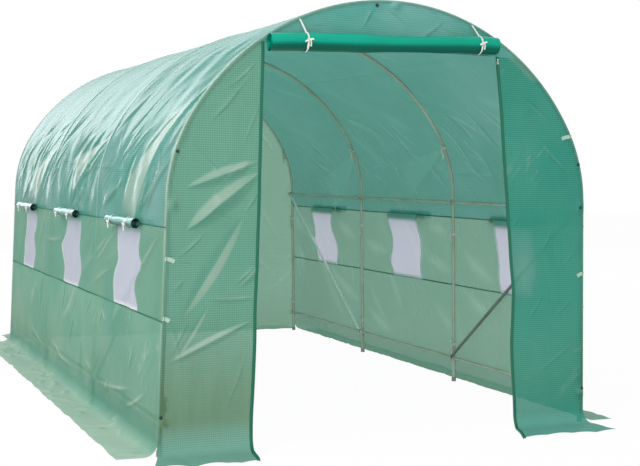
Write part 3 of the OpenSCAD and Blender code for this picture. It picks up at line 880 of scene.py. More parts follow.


# Each film: colours between threads, of paler places and of light passing, then the shares of light through
# and clear and of paler film (thin film, and painted sheen on the roof and walls), thread contrast,
# specular level, coat, soil, coat roughness and crinkles.
FILMS = {
    # A darker copy of the film for the right front panel: painted shade
    "cover_film": ("film", "film_pale", "glow", 0.36, 0.05, 0.28, 0.44, 0.0, 0.12, 0.4, 0.08, 1.0),
    "band_film": ("film", "film_dry", "film_dry", 0.42, 0.05, 0.52, 0.36, 0.0, 0.32, 0.6, 0.10, 1.0),
    "roof_film": ("film", "film_roof", "glow", 0.38, 0.05, 0.18, 0.28, 0.0, 0.49, 0.0, 0.17, 1.0),
    "lower_film": ("film", "film_dry", "film_dry", 0.45, 0.05, 0.46, 0.40, 0.0, 0.20, 0.5, 0.08, 1.0),
    "weathered_film": ("film", "film_dry", "film_dry", 0.22, 0.03, 0.50, 0.36, 0.0, 0.22, 0.8, 0.10, 1.0),
    # A paler copy of the film for the left front panel and the edge tapes: painted light
    "faded_film": ("film", "film_dry", "film_pale", 0.38, 0.05, 0.86, 0.48, 0.0, 0.12, 2.2, 0.08, 1.0),
    "head_film": ("film", "film_roof", "film_pale", 0.10, 0.03, 0.28, 0.26, 0.0, 0.12, 0.0, 0.08, 0.5),
    "rear_film": ("film_dry", "film_old", "film_dry", 0.32, 0.05, 0.24, 0.36, 0.0, 0.12, 0.3, 0.08, 1.0),
    "rolled_film": (
        "rolled", "rolled_pale", "rolled_pale", 0.06, 0.0, 0.0, 0.08, 0.05, 0.10, 0.0, 0.08, 0.1),
    "flap_film": ("film", "film_roof", "film_pale", 0.06, 0.0, 0.34, 0.20, 0.05, 0.06, 0.0, 0.12, 0.4),
    "seam_film": ("binding", "film_dry", "film", 0.20, 0.0, 0.08, 0.20, 0.0, 0.0, 0.0, 0.10, 0.0),
    "tab_film": ("film_dry", "tape", "film_dry", 0.10, 0.0, 0.20, 0.10, 0.0, 0.0, 0.0, 0.10, 0.0),
}


def finish_of(name, colours):
    """The material of a finish, made once."""
    made = bpy.data.materials.get(name)
    if made:
        return made
    if name in FILMS:
        mixed = [getattr(colours, key) for key in FILMS[name][:3]]
        return film_material(name, colours, *mixed, *FILMS[name][3:])
    makers = {
        "edge_binding": (binding_material, colours), "screen_mesh": (screen_material, colours),
        "white_tape": (tape_material, colours), "galvanised_tube": (steel_material, colours, 0.0, 0.0),
        # The braces take painted light to the rear and painted shade to the front
        "brace_tube": (steel_material, colours, 0.9, 0.7),
        "black_plastic": (plastic_material, colours.plastic, 0.42),
        "white_plastic": (plastic_material, colours.tape, 0.34),
        "grey_plastic": (plastic_material, GREY_PLASTIC, 0.42),
    }
    maker, *given = makers[name]
    return maker(name, *given)


ROOF_SHEEN = ((0, 0.3, 0.56, 0.85, 1.1, 1.3), (0.28, 0.34, 0.46, 0.7, 0.92, 1.0))


class TUNNEL_OT_roof_cover(bpy.types.Operator):
    """Lay the roof film over the hoops, from the seam over the windows on one side to the other"""

    bl_idname = "tunnel.roof_cover"
    bl_label = "Roof cover"

    def execute(self, context):
        sizes, colours, arch = tunnel(context)
        seam = arch.run_at(sizes.band_high)
        end = end_face(sizes)
        y = film_columns(sizes, -end, end)
        half = spaced(0, seam, sizes.grid)
        grids = []
        for _, side in SIDES:
            run, along = np.meshgrid(half, y, indexing="ij")
            grids.append(FilmRelief(sizes, arch, side).points(run, along))
        ease = np.clip(half / 0.25, 0, 1)[:, None, None]
        ridge = (grids[0][0][0] + grids[1][0][0]) / 2
        blended = []
        for points, *marks in grids:
            shift = (ridge - points[0])[None] * (1 - ease * ease * (3 - 2 * ease))
            blended.append((points + shift, *marks))
        points, mark, press, shade = (np.concatenate([one[:0:-1], two]) for one, two in zip(*blended))
        run = np.concatenate([-half[:0:-1], half])
        cut = np.stack(np.broadcast_arrays(y[None], run[:, None]), -1)
        patch = Patch(points, cut, mark, press, shade, turned=True)
        sheen = np.interp(np.abs(run), *ROOF_SHEEN)
        patch.marks["gloss"] = np.repeat(sheen[:, None], len(y), 1)
        piece = lay_sheet("roof_cover", [patch])
        fit(piece, finish_of("roof_film", colours), "cover_sheet", "roof_sheet")
        2 * seam
        return {"FINISHED"}


WINDOWS = ("front", "middle", "rear")
SCREEN_LAP = 0.009
WINDOW_HEIGHTS = (0.925, 0.86, 0.80, 0.745, 0.69, 0.635, 0.58, 0.545)
# Places along of the front and rear edge of each window on a side, at these heights.
WINDOW_EDGES = {
    -1: (
        ((-1.404, -1.370, -1.358, -1.440, -1.324, -1.304, -1.366, -1.380),
         (-0.976, -0.984, -1.010, -1.034, -0.960, -0.944, -0.960, -0.972)),
        ((-0.250, -0.258, -0.246, -0.232, -0.276, -0.300, -0.232, -0.204),
         (0.090, 0.094, 0.146, 0.242, 0.200, 0.124, 0.140, 0.150)),
        ((0.968, 0.972, 0.988, 1.040, 1.010, 0.980, 1.028, 1.034),
         (1.322, 1.326, 1.318, 1.334, 1.356, 1.350, 1.362, 1.366)),
    ),
    1: (
        ((-1.352, -1.346, -1.340, -1.352, -1.366, -1.360, -1.350, -1.356),
         (-0.990, -1.000, -1.016, -1.030, -1.041, -1.039, -1.052, -1.068)),
        ((-0.125, -0.147, -0.188, -0.200, -0.197, -0.188, -0.198, -0.212),
         (0.235, 0.220, 0.172, 0.158, 0.170, 0.198, 0.158, 0.130)),
        ((1.070, 1.078, 1.080, 1.035, 0.975, 0.962, 0.976, 0.980),
         (1.398, 1.385, 1.352, 1.354, 1.362, 1.338, 1.305, 1.290)),
    ),
}


def softened(values, reach):
    """Even values out over their neighbours on both sides."""
    count = 2 * reach + 1
    return np.convolve(np.pad(values, reach, mode="edge"), np.ones(count) / count, mode="valid")


def window_edges(arch, runs, side):
    """Front and rear edge of each window of a side, which pull in and out down its height."""
    places = [arch.run_at(z) for z in WINDOW_HEIGHTS]
    fine = np.linspace(places[0], places[-1], 60)
    edges = []
    for pair in WINDOW_EDGES[side]:
        edges.append([np.interp(runs, fine, softened(np.interp(fine, places, edge), 4)) for edge in pair])
    return edges


def strip_grid(runs, front, rear, share):
    """Places along and distances down over a strip between two edges."""
    y = front[:, None] + (rear - front)[:, None] * share[None]
    return y, np.repeat(runs[:, None], len(share), 1)


def band_runs(sizes, arch, step):
    """Distances from the ridge down the strip with the windows."""
    return spaced(arch.run_at(sizes.band_high), arch.run_at(sizes.band_low), step)


class TUNNEL_OT_window_bands(bpy.types.Operator):
    """Lay the strip of film with the window openings along each side"""

    bl_idname = "tunnel.window_bands"
    bl_label = "Window bands"

    def execute(self, context):
        sizes, colours, arch = tunnel(context)
        end = end_face(sizes)
        runs = band_runs(sizes, arch, sizes.grid * WALL_FINENESS)
        for name, side in SIDES:
            relief = FilmRelief(sizes, arch, side)
            edges = [edge for pair in window_edges(arch, runs, side) for edge in pair]
            bounds = [np.full(runs.shape, -end), *edges, np.full(runs.shape, end)]
            patches = []
            for front, rear in zip(bounds[::2], bounds[1::2]):
                mean = film_columns(sizes, float(front.mean()), float(rear.mean()), WALL_FINENESS)
                share = (mean - mean[0]) / (mean[-1] - mean[0])
                y, run = strip_grid(runs, front, rear, share)
                points, mark, press, shade = relief.points(run, y)
                hem = np.minimum(np.abs(y - front[:, None]), np.abs(rear[:, None] - y))
                press = np.maximum(press, 0.55 * np.exp(-((hem / 0.008) ** 2)))
                cut = np.stack([y, side * run], -1)
                patches.append(Patch(points, cut, mark, press, shade, turned=side > 0))
            piece = lay_sheet(f"{name}_window_band_film", patches)
            fit(piece, finish_of("band_film", colours), "cover_sheet", f"{name}_window_band")
            sheet_area(patches)
        return {"FINISHED"}


class TUNNEL_OT_window_screens(bpy.types.Operator):
    """Set an insect screen into each window"""

    bl_idname = "tunnel.window_screens"
    bl_label = "Window screens"

    def execute(self, context):
        sizes, colours, arch = tunnel(context)
        runs = band_runs(sizes, arch, sizes.grid)
        for name, side in SIDES:
            relief = FilmRelief(sizes, arch, side)
            for place, (front, rear) in zip(WINDOWS, window_edges(arch, runs, side)):
                front, rear = front - SCREEN_LAP, rear + SCREEN_LAP
                y, run = strip_grid(runs, front, rear, np.linspace(0, 1, 36))
                points = relief.points(run, y, 0.003)[0]
                hem = np.minimum(y - front[:, None], rear[:, None] - y)
                hem = np.minimum(hem, runs[-1] - run + 0.003)
                press = np.exp(-((hem / 0.0155) ** 6))
                # Painted band at the top of each screen where the rolled flap shows through
                behind = 0.9 * np.exp(-(((run - runs[0]) / 0.038) ** 8))
                cut = np.stack([y, side * run], -1)
                patch = Patch(points, cut, press=press, shade=behind, turned=side > 0)
                piece = lay_sheet(f"{name}_{place}_screen", [patch])
                fit(piece, finish_of("screen_mesh", colours), "insect_screen", f"{name}_window_screens")
        return {"FINISHED"}


class TUNNEL_OT_lower_walls(bpy.types.Operator):
    """Lay the lower wall film on each side, folded out into its skirt"""

    bl_idname = "tunnel.lower_walls"
    bl_label = "Lower walls"

    def execute(self, context):
        sizes, colours, arch = tunnel(context)
        end = end_face(sizes)
        y = film_columns(sizes, -end, end, WALL_FINENESS)
        runs = np.concatenate([
            spaced(arch.run_at(sizes.band_low), arch.wall_end, sizes.grid * WALL_FINENESS)[:-1],
            spaced(arch.wall_end, arch.end, 0.0085)])
        for name, side in SIDES:
            run, along = np.meshgrid(runs, y, indexing="ij")
            points, mark, press, shade = FilmRelief(sizes, arch, side).points(run, along)
            patch = Patch(points, np.stack([along, side * run], -1), mark, press, shade, turned=side > 0)
            patch.marks["gloss"] = 1 - 0.85 * np.clip((run - arch.wall_end + 0.04) / 0.04, 0, 1)
            piece = lay_sheet(f"{name}_lower_film", [patch])
            finish = finish_of("weathered_film" if side < 0 else "lower_film", colours)
            fit(piece, finish, "cover_sheet", f"{name}_lower_wall")
        return {"FINISHED"}


class EndWall:
    """Lines of the end walls: upright sheets that fold out into a skirt at the ground."""

    def __init__(self, sizes, arch):
        self.arch = arch
        self.face = end_face(sizes)
        self.fold_run = arch.fold_r * math.pi / 2
        self.flat_run = sizes.end_reach - self.face - arch.fold_r

    def drops(self, top):
        """Distances down from a height to the skirt's edge, and the one at which the skirt begins."""
        wall = top - self.arch.fold_z
        return np.concatenate([
            spaced(0, wall, 0.0105)[:-1], spaced(wall, wall + self.fold_run + self.flat_run, 0.009)]), wall

    def place(self, drop, wall, top):
        """Distance out from the wall, height, and direction out and up, by distance down from the top."""
        r = self.arch.fold_r
        angle = np.clip((drop - wall) / r, 0, math.pi / 2)
        beyond = np.clip(drop - wall - self.fold_run, 0, None)
        out = r * (1 - np.cos(angle)) + beyond
        z = np.where(drop < wall, top - drop, self.arch.fold_z - r * np.sin(angle))
        return out, z, np.cos(angle), np.sin(angle)

    def edge(self, z):
        """Half width of the wall down to the ground."""
        return self.arch.width_at(np.maximum(z, 0.0))


RAIL_BULGE = 0.0125
# Across, height, half width and half height of each rail end behind an end wall.
RAIL_ENDS = ((0.987, 1.015, 0.018, 0.026), (1.0146, 0.137, 0.018, 0.020), (0.0, 1.8788, 0.022, 0.016))


def over_rail_ends(x, z):
    """How far an end wall bulges where the ends of the rails and the ridge tube press on it."""
    bulge = np.zeros(np.shape(x))
    for across, high, wide, tall in RAIL_ENDS:
        near = ((np.abs(x) - across) / wide) ** 2 + ((z - high) / tall) ** 2
        bulge = np.maximum(bulge, np.exp(-near))
    return RAIL_BULGE * bulge


# Rows for facet_folds and fold_lines on the front panels and the head panel, in X and Z.
LEFT_FACETS = (
    (-0.690, 0.968, -0.940, 0.566, 0.046, 0.004, 1), (-0.622, 1.148, -0.925, 0.914, 0.052, 0.015, -1),
    (-0.622, 1.196, -0.930, 1.084, 0.036, 0.011, -1), (-0.640, 0.540, -1.018, 0.368, 0.026, 0.009, -1),
    (-0.830, 0.612, -0.968, 0.392, 0.020, 0.003, 1),
)
LEFT_FOLDS = (
    (-0.918, 0.545, -1.012, 0.372, 0.014, 0.004, 0.0), (-0.622, 1.440, -0.700, 1.250, 0.018, 0.004, 0.0),
    (-0.85, 0.906, -0.968, 0.802, 0.014, 0.005, 0.004), (-0.775, 1.046, -0.924, 0.918, 0.016, 0.005, 0.006),
    (-0.860, 0.980, -0.690, 0.944, 0.012, 0.0034, 0.0), (-1.020, 0.786, -0.860, 0.766, 0.012, 0.004, 0.0),
    (-0.632, 0.766, -0.730, 0.682, 0.014, 0.004, 0.0), (-0.622, 1.076, -0.682, 0.984, 0.014, 0.004, 0.0),
    (-0.745, 1.182, -0.622, 1.202, 0.012, 0.003, 0.0), (-0.640, 1.604, -0.768, 1.492, 0.018, 0.004, 0.004),
    (-0.660, 1.560, -0.860, 1.330, 0.020, 0.0036, 0.006), (-0.930, 1.280, -0.700, 1.050, 0.016, 0.003, 0.0),
    (-1.030, 0.640, -0.940, 0.300, 0.016, 0.0034, 0.01), (-0.660, 0.420, -0.760, 0.160, 0.016, 0.003, 0.0),
    (-0.610, 0.770, -0.707, 0.676, 0.034, 0.0044, 0.0), (-0.610, 0.643, -0.837, 0.635, 0.028, 0.004, 0.004),
    (-0.935, 0.720, -1.010, 0.650, 0.026, 0.004, 0.0),
)
RIGHT_FOLDS = (
    (0.800, 0.624, 0.700, 0.460, 0.018, 0.005, 0.0), (0.640, 0.420, 0.795, 0.384, 0.016, 0.0045, 0.0),
    (0.972, 0.600, 0.860, 0.505, 0.018, 0.005, 0.0), (0.838, 0.915, 0.760, 0.765, 0.016, 0.0045, 0.0),
    (0.662, 0.982, 0.620, 0.926, 0.014, 0.004, 0.0), (0.585, 1.190, 0.830, 1.178, 0.014, 0.0035, 0.002),
    (0.960, 1.150, 0.720, 1.360, 0.026, 0.006, 0.01), (0.640, 1.520, 0.820, 1.400, 0.024, 0.0055, 0.0),
    (1.020, 0.880, 0.850, 0.700, 0.020, 0.004, 0.006), (1.030, 0.420, 0.760, 0.240, 0.024, 0.0045, 0.0),
)
HEAD_FOLDS = (
    (-0.10, 1.886, -0.17, 1.76, 0.02, 0.005, 0.0), (-0.09, 1.880, 0.06, 1.79, 0.018, 0.004, 0.0),
    (-0.50, 1.735, -0.18, 1.790, 0.014, 0.003, 0.004), (0.12, 1.800, 0.46, 1.742, 0.014, 0.003, 0.004),
    (-0.30, 1.715, 0.28, 1.722, 0.012, 0.0026, 0.0), (0.25, 1.84, 0.10, 1.73, 0.02, 0.004, 0.0),
)
DOOR_EDGE_HEIGHTS = (0.0, 0.13, 0.26, 0.39, 0.50, 0.59, 0.72, 0.95, 1.20, 1.44, 1.70)
DOOR_EDGES = {
    -1: (0.632, 0.634, 0.629, 0.626, 0.622, 0.624, 0.618, 0.614, 0.610, 0.607, 0.605),
    1: (0.656, 0.646, 0.634, 0.624, 0.628, 0.629, 0.615, 0.592, 0.566, 0.540, 0.510),
}


def door_edge(z, side):
    """Distance of a door edge from the middle, which wanders down its height."""
    fine = np.linspace(-0.2, 1.9, 211)
    return np.interp(z, fine, softened(np.interp(fine, DOOR_EDGE_HEIGHTS, DOOR_EDGES[side]), 6))


# Lean outwards and fan of each front skirt, and the share by which its outer corner is shorter.
SKIRT_SET = {-1: (0.27, 0.08, 0.12), 1: (-0.17, 0.54, 0.0)}


def skirt_wave(x, beyond, rng):
    """Lift of a skirt over the ground, growing towards its edge."""
    lift = np.abs(ripples(x, beyond * 0.3, rng, 6, 0.16, 0.5, 0.011))
    return lift * np.clip(beyond / 0.1, 0, 1)


def front_panel_points(sizes, arch, side, share, drop, wall):
    """Points of a front panel, from door edge to hoop edge, with its flat cut and fold marks."""
    ends = EndWall(sizes, arch)
    left = side < 0
    out, z, away, up = ends.place(drop, wall, sizes.door_top)
    inner, outer = door_edge(z, side), ends.edge(z)
    beyond = np.clip(drop - wall - ends.fold_run, 0, None)
    lean, fan, short = SKIRT_SET[side]
    flare = out * (lean + fan * (share - 0.5))
    out = out - beyond * short * share
    x = side * (inner + (outer - inner) * share + flare)
    rng = np.random.default_rng(5 if left else 6)
    lines, mark, shade = fold_lines(x, z, LEFT_FOLDS if left else RIGHT_FOLDS)
    if left:
        tents = facet_folds(x, z, LEFT_FACETS)
        lines, mark, shade = lines + tents[0], np.maximum(mark, tents[1]), np.maximum(shade, tents[2])
    else:
        lines, shade = lines * 0.5, shade * 0.5
        # Painted light: a pale patch where light comes through the right panel
        thin = np.exp(-(((x - 0.69) / 0.10) ** 2) - ((z - 0.74) / 0.16) ** 2)
        mark = np.maximum(mark * 0.45, 0.46 * thin)
    upright = np.clip((wall - drop) / 0.15, 0, 1)
    held = np.clip(((1 - share) * (outer - inner) - 0.024) / 0.05, 0, 1)
    loose = np.exp(-(share * (outer - inner) / 0.09))
    waves = ripples(x, z, rng, 8, 0.1, 0.32, 0.0022)
    sway = 0.004 * np.sin(z * 9.0 + side) * loose
    stand = upright * held * (lines + waves + sway) + skirt_wave(x, beyond, rng)
    stand += (1 - upright) * np.clip((drop - wall) / 0.1, 0, 1) * 0.004 * np.abs(np.sin(x * 23))
    stand = np.maximum(stand, over_rail_ends(x, z))
    y = -(ends.face + out + away * stand)
    ground = np.clip((drop - wall) / ends.fold_run, 0, 1)
    held = upright * held
    # Painted highlight and shade of the folds, and painted shade on the skirts, heavier on the left
    marks = [mark * held, shade * held * 0.6 + (0.95 if left else 0.5) * ground**0.6]
    if not left:
        # Painted highlight along the hoop edge near the top of the right panel
        brim = np.exp(-(((1 - share) * (outer - inner) / 0.062) ** 6))
        marks[0] = np.maximum(marks[0], 0.5 * brim * np.clip((z - 1.575) / 0.03, 0, 1))
    return np.stack([x, y, z + up * stand], -1), np.stack([x, drop], -1), marks


class TUNNEL_OT_front_panels(bpy.types.Operator):
    """Hang the two front panels beside the doorway, folded out into their skirts"""

    bl_idname = "tunnel.front_panels"
    bl_label = "Front panels"

    def execute(self, context):
        sizes, colours, arch = tunnel(context)
        drops, wall = EndWall(sizes, arch).drops(sizes.door_top)
        for name, side in SIDES:
            halves = np.interp(np.arange(2 * len(drops) - 1) / 2, np.arange(len(drops)), drops)
            share, drop = np.meshgrid(np.linspace(0, 1, 80), halves)
            points, cut, (mark, shade) = front_panel_points(sizes, arch, side, share, drop, wall)
            # Painted highlight along the hoop edge, where the film is also drawn over the tube
            seam = np.abs(cut[:, -1:, 0] - cut[..., 0])
            press = 0.3 * np.exp(-((seam / 0.012) ** 2)) * (drop < wall)
            patch = Patch(points, cut, mark, press, shade, turned=side > 0)
            piece = lay_sheet(f"front_{name}_film", [patch])
            # The left panel takes the paler copy of the film, painted light, and the right the darker one,
            # painted shade
            finish = finish_of("faded_film" if side < 0 else "cover_film", colours)
            fit(piece, finish, "cover_sheet", f"front_{name}_panel")
            width = float(cut[..., 0].max() - cut[..., 0].min())
            sheet_area([patch])
        return {"FINISHED"}


class TUNNEL_OT_head_panel(bpy.types.Operator):
    """Sew the panel in over the doorway, under the crown of the front hoop"""

    bl_idname = "tunnel.head_panel"
    bl_label = "Head panel"

    def execute(self, context):
        sizes, colours, arch = tunnel(context)
        half = float(arch.width_at(sizes.door_top)) - 0.0005
        share, x = np.meshgrid(np.linspace(0, 1, 40), np.linspace(-half, half, 200), indexing="ij")
        top = arch.top_at(x)
        z = sizes.door_top + (top - sizes.door_top) * share
        rng = np.random.default_rng(12)
        lines, mark, shade = (values * 0.6 for values in fold_lines(x, z, HEAD_FOLDS))
        held = np.clip((top - z - 0.024) / 0.03, 0, 1) * np.clip((z - sizes.door_top) / 0.02, 0, 1)
        waves = ripples(x * 0.4, z, rng, 7, 0.05, 0.16, 0.0012)
        y = -(end_face(sizes) + np.maximum(held * (lines + waves), over_rail_ends(x, z)))
        # Painted highlight along the top edge, where the film is also drawn over the hoop
        hem = 0.3 * np.exp(-((top - z) / 0.012) ** 2)
        patch = Patch(np.stack([x, y, z], -1), np.stack([x, z], -1), mark * held, hem, shade * held)
        piece = lay_sheet("front_head_film", [patch])
        fit(piece, finish_of("head_film", colours), "cover_sheet", "front_head_panel")
        float(top.max() - sizes.door_top)
        sheet_area([patch])
        return {"FINISHED"}


REAR_FOLDS = 46


class TUNNEL_OT_rear_panel(bpy.types.Operator):
    """Hang the closed rear wall, folded out into its skirt"""

    bl_idname = "tunnel.rear_panel"
    bl_label = "Rear panel"

    def execute(self, context):
        sizes, colours, arch = tunnel(context)
        ends = EndWall(sizes, arch)
        top = float(arch.top_at(0.0)) - 0.0004
        drops, wall = ends.drops(top)
        drops = np.concatenate([[0, 0.001, 0.003, 0.006], drops[1:]])
        share, drop = np.meshgrid(np.linspace(-1, 1, 151), drops)
        out, z, away, up = ends.place(drop, wall, top)
        beyond = np.clip(drop - wall - ends.fold_run, 0, None)
        edge = ends.edge(z)
        x = share * (edge + beyond * 0.14 * np.abs(share))
        rng = np.random.default_rng(31)
        rows = []
        for _ in range(REAR_FOLDS):
            hand = rng.choice([-1, 1])
            x0, z0 = hand * rng.uniform(0.1, 0.95), rng.uniform(0.25, 1.5)
            bearing, run = math.radians(rng.uniform(25, 80)), rng.uniform(0.15, 0.5)
            rows.append((x0, z0, x0 - hand * run * math.cos(bearing), z0 + run * math.sin(bearing),
                         rng.uniform(0.014, 0.032), rng.uniform(0.002, 0.006), rng.uniform(-0.02, 0.02)))
        lines, mark, shade = fold_lines(x, z, rows)
        upright = np.clip((wall - drop) / 0.15, 0, 1)
        held = np.clip((edge - np.abs(x) - 0.024) / 0.06, 0, 1)
        bulge = 0.006 * (1 - share**2)
        stand = upright * held * (lines + ripples(x, z, rng, 9, 0.12, 0.4, 0.0024) + bulge)
        stand += skirt_wave(x, beyond, rng)
        stand += (1 - upright) * np.clip((drop - wall) / 0.1, 0, 1) * 0.004 * np.abs(np.sin(x * 21))
        stand = np.maximum(stand, over_rail_ends(x, z))
        y = ends.face + out + away * stand
        cut = np.stack([x, drop], -1)
        marks = [values * upright * held for values in (mark, shade)]
        # Painted shade on the skirt
        marks[1] += 0.5 * np.clip((drop - wall) / ends.fold_run, 0, 1)
        patch = Patch(np.stack([x, y, z + up * stand], -1), cut, marks[0], None, marks[1], turned=True)
        piece = lay_sheet("rear_film", [patch])
        fit(piece, finish_of("rear_film", colours), "cover_sheet", "rear_panel")
        sheet_area([patch])
        return {"FINISHED"}


# Width and thickness of each tape.
SEAM_TAPE, EDGE_TAPE = (0.0055, 0.0032), (0.0034, 0.002)
DOOR_TAPE, ZIP_TEETH = (0.013, 0.005), (0.004, 0.0085)


class TUNNEL_OT_seam_tapes(bpy.types.Operator):
    """Sew tapes along the side seams and round the edges of the end walls"""

    bl_idname = "tunnel.seam_tapes"
    bl_label = "Seam tapes"

    def execute(self, context):
        sizes, colours, arch = tunnel(context)
        end = end_face(sizes)
        y = np.linspace(-end, end, 260)
        for name, side in SIDES:
            relief = FilmRelief(sizes, arch, side)
            tapes = []
            for z in (sizes.band_high, sizes.band_low):
                path = relief.points(np.full(y.shape, arch.run_at(z)), y)[0]
                tapes.append((path, (0, 0, 1), *SEAM_TAPE))
            fit(tape_piece(f"{name}_seam_tapes", tapes), finish_of("seam_film", colours), "zip_binding")
        for name, hand in ENDS:
            runs = np.linspace(0, arch.wall_end, 150)
            inner = Arch(sizes, sizes.cover_offset - 0.008)
            x, z, nx, nz = inner.line(runs * inner.wall_end / arch.wall_end)
            points = np.stack([x, np.full(x.shape, hand * (end + 0.0022)), z], -1)
            mirrored = points * (-1, 1, 1)
            path = np.concatenate([mirrored[:0:-1], points])
            across = np.stack([np.concatenate([-nx[:0:-1], nx]), np.zeros(len(path)),
                               np.concatenate([nz[:0:-1], nz])], -1)
            # The edge tapes take the paler film: painted highlight along the hoops
            fit(tape_piece(f"{name}_edge_tape", [(path, across, *EDGE_TAPE)]),
                finish_of("faded_film", colours), "cover_sheet")
        return {"FINISHED"}


class TUNNEL_OT_door_bindings(bpy.types.Operator):
    """Sew the zip binding down each door edge and out over the skirt"""

    bl_idname = "tunnel.door_bindings"
    bl_label = "Door bindings"

    def execute(self, context):
        sizes, colours, arch = tunnel(context)
        drops, wall = EndWall(sizes, arch).drops(sizes.door_top)
        drops = drops[::2] if len(drops) % 2 else np.append(drops[::2], drops[-1])
        for name, side in SIDES:
            path = front_panel_points(sizes, arch, side, np.zeros(drops.shape), drops, wall)[0]
            path[:, 0] += side * DOOR_TAPE[0] / 2
            teeth = path + np.array([-side * 0.0045, 0, 0])
            tapes = [(path, (side, 0, 0), *DOOR_TAPE), (teeth, (side, 0, 0), *ZIP_TEETH)]
            fit(tape_piece(f"{name}_zip_binding", tapes), finish_of("edge_binding", colours), "zip_binding",
                f"{name}_door_binding")
        return {"FINISHED"}


def rolled_patch(length, outer, pitch, turns, start, centre, axis, rng, steps, columns):
    """A sheet rolled round an axis along X or Y, loose at its ends, with its free edge outermost."""
    count = int(turns * steps) + 1
    turn = np.linspace(0, turns, count)
    radius = outer - pitch * turn
    angle = start + 2 * np.pi * turn
    place = np.linspace(-length / 2, length / 2, columns)
    t, p = np.meshgrid(turn, place, indexing="ij")
    r, a = (np.repeat(values[:, None], columns, 1) for values in (radius, angle))
    wob = ripples(p * 3.0, t * 0.06, rng, 6, 0.35, 1.2, 0.0016)
    stretch = 1 + 0.035 * np.sin(2 * a + p * 7)
    r = r * stretch + wob * np.clip(r / outer, 0.2, 1)
    slip = 0.006 * np.sin(t * 2.2 + 1.0) * np.sign(p) * (np.abs(p) / (length / 2)) ** 6
    lines = [p + slip, r * np.cos(a)]
    points = np.stack([*(lines if axis == "x" else lines[::-1]), r * np.sin(a)], -1)
    unrolled = np.concatenate([[0], np.cumsum(2 * np.pi / steps * (radius[1:] + radius[:-1]) / 2)])
    cut = np.stack([p, np.repeat(unrolled[:, None], columns, 1)], -1)
    # Painted shade on the underside of the outer turn
    under = np.clip((0.12 - np.sin(a)) / 0.5, 0, 1) * 2.0 * (t < 1.05)
    return Patch(points + np.asarray(centre), cut, shade=under), float(unrolled[-1])


ROLL_RIGHT = 0.484
ROLL_HEM = 0.012
ROLL_RADIUS, ROLL_PITCH, ROLL_TURNS = 0.0385, 0.0031, 10.6


def roll_tilt(x):
    """How much higher the rolled door hangs towards its right end."""
    return 0.049 * (np.asarray(x) + 0.6) / 1.12 - 0.002


class TUNNEL_OT_door_roll(bpy.types.Operator):
    """Roll the door sheet up under the head panel"""

    bl_idname = "tunnel.door_roll"
    bl_label = "Rolled door"

    def execute(self, context):
        colours = context.scene.tunnel_colours
        low, high = (np.array(x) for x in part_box("door_roll"))
        centre = (low + high) / 2
        left = low[0] - ROLL_HEM
        length = ROLL_RIGHT - left
        rng = np.random.default_rng(3)
        middle = ((left + ROLL_RIGHT) / 2, centre[1], centre[2])
        patch, unrolled = rolled_patch(
            length - ROLL_HEM, ROLL_RADIUS, ROLL_PITCH, ROLL_TURNS, 0.35, middle, "x", rng, 28, 72)
        x = patch.points[..., 0]
        patch.points[..., 2] += roll_tilt(x)
        hang = np.abs(x - middle[0]) / (length / 2)
        patch.points[..., 2] -= 0.004 * np.clip((hang - 0.7) / 0.3, 0, 1) ** 2
        patch.points[..., 2] -= 0.003 * np.clip(1 - hang / 0.7, 0, 1)
        # Pale lines along the roll: whitened folds with painted highlight
        lines = ripples(x * 0.5, patch.cut[..., 1], rng, 5, 0.1, 0.3, 1.0)
        patch.marks["crease_and_highlight"] = np.clip(lines - 1.2, 0, 1) * 0.16
        piece = lay_sheet("rolled_door", [patch])
        fit(piece, finish_of("rolled_film", colours), "rolled_sheet", "door_roll")
        return {"FINISHED"}


def flap_line(name):
    """Place across, height and radius of the rolled flaps on one side, from the frame's rolls."""
    low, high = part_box(f"{name}_flap_rolls")
    return (low[0] + high[0]) / 2, (low[2] + high[2]) / 2, (high[0] - low[0]) / 2


FLAP_LENGTH, FLAP_PITCH, FLAP_TURNS = 0.46, 0.0042, 4.4


class TUNNEL_OT_flap_rolls(bpy.types.Operator):
    """Roll each window flap up over its window"""

    bl_idname = "tunnel.flap_rolls"
    bl_label = "Rolled flaps"

    def execute(self, context):
        sizes, colours, _ = tunnel(context)
        bay = sizes.length / 3
        for name, side in SIDES:
            x, z, radius = flap_line(name)
            for index, place in enumerate(WINDOWS):
                rng = np.random.default_rng(50 + index)
                start = math.pi if side > 0 else 0.0
                middle = (x, (index - 1) * bay, z)
                patch, unrolled = rolled_patch(
                    FLAP_LENGTH, radius - 0.001, FLAP_PITCH, FLAP_TURNS, start, middle, "y", rng, 24, 34)
                patch.turned = True
                piece = lay_sheet(f"{name}_{place}_flap", [patch])
                fit(piece, finish_of("flap_film", colours), "rolled_sheet", f"{name}_flap_rolls")
        return {"FINISHED"}


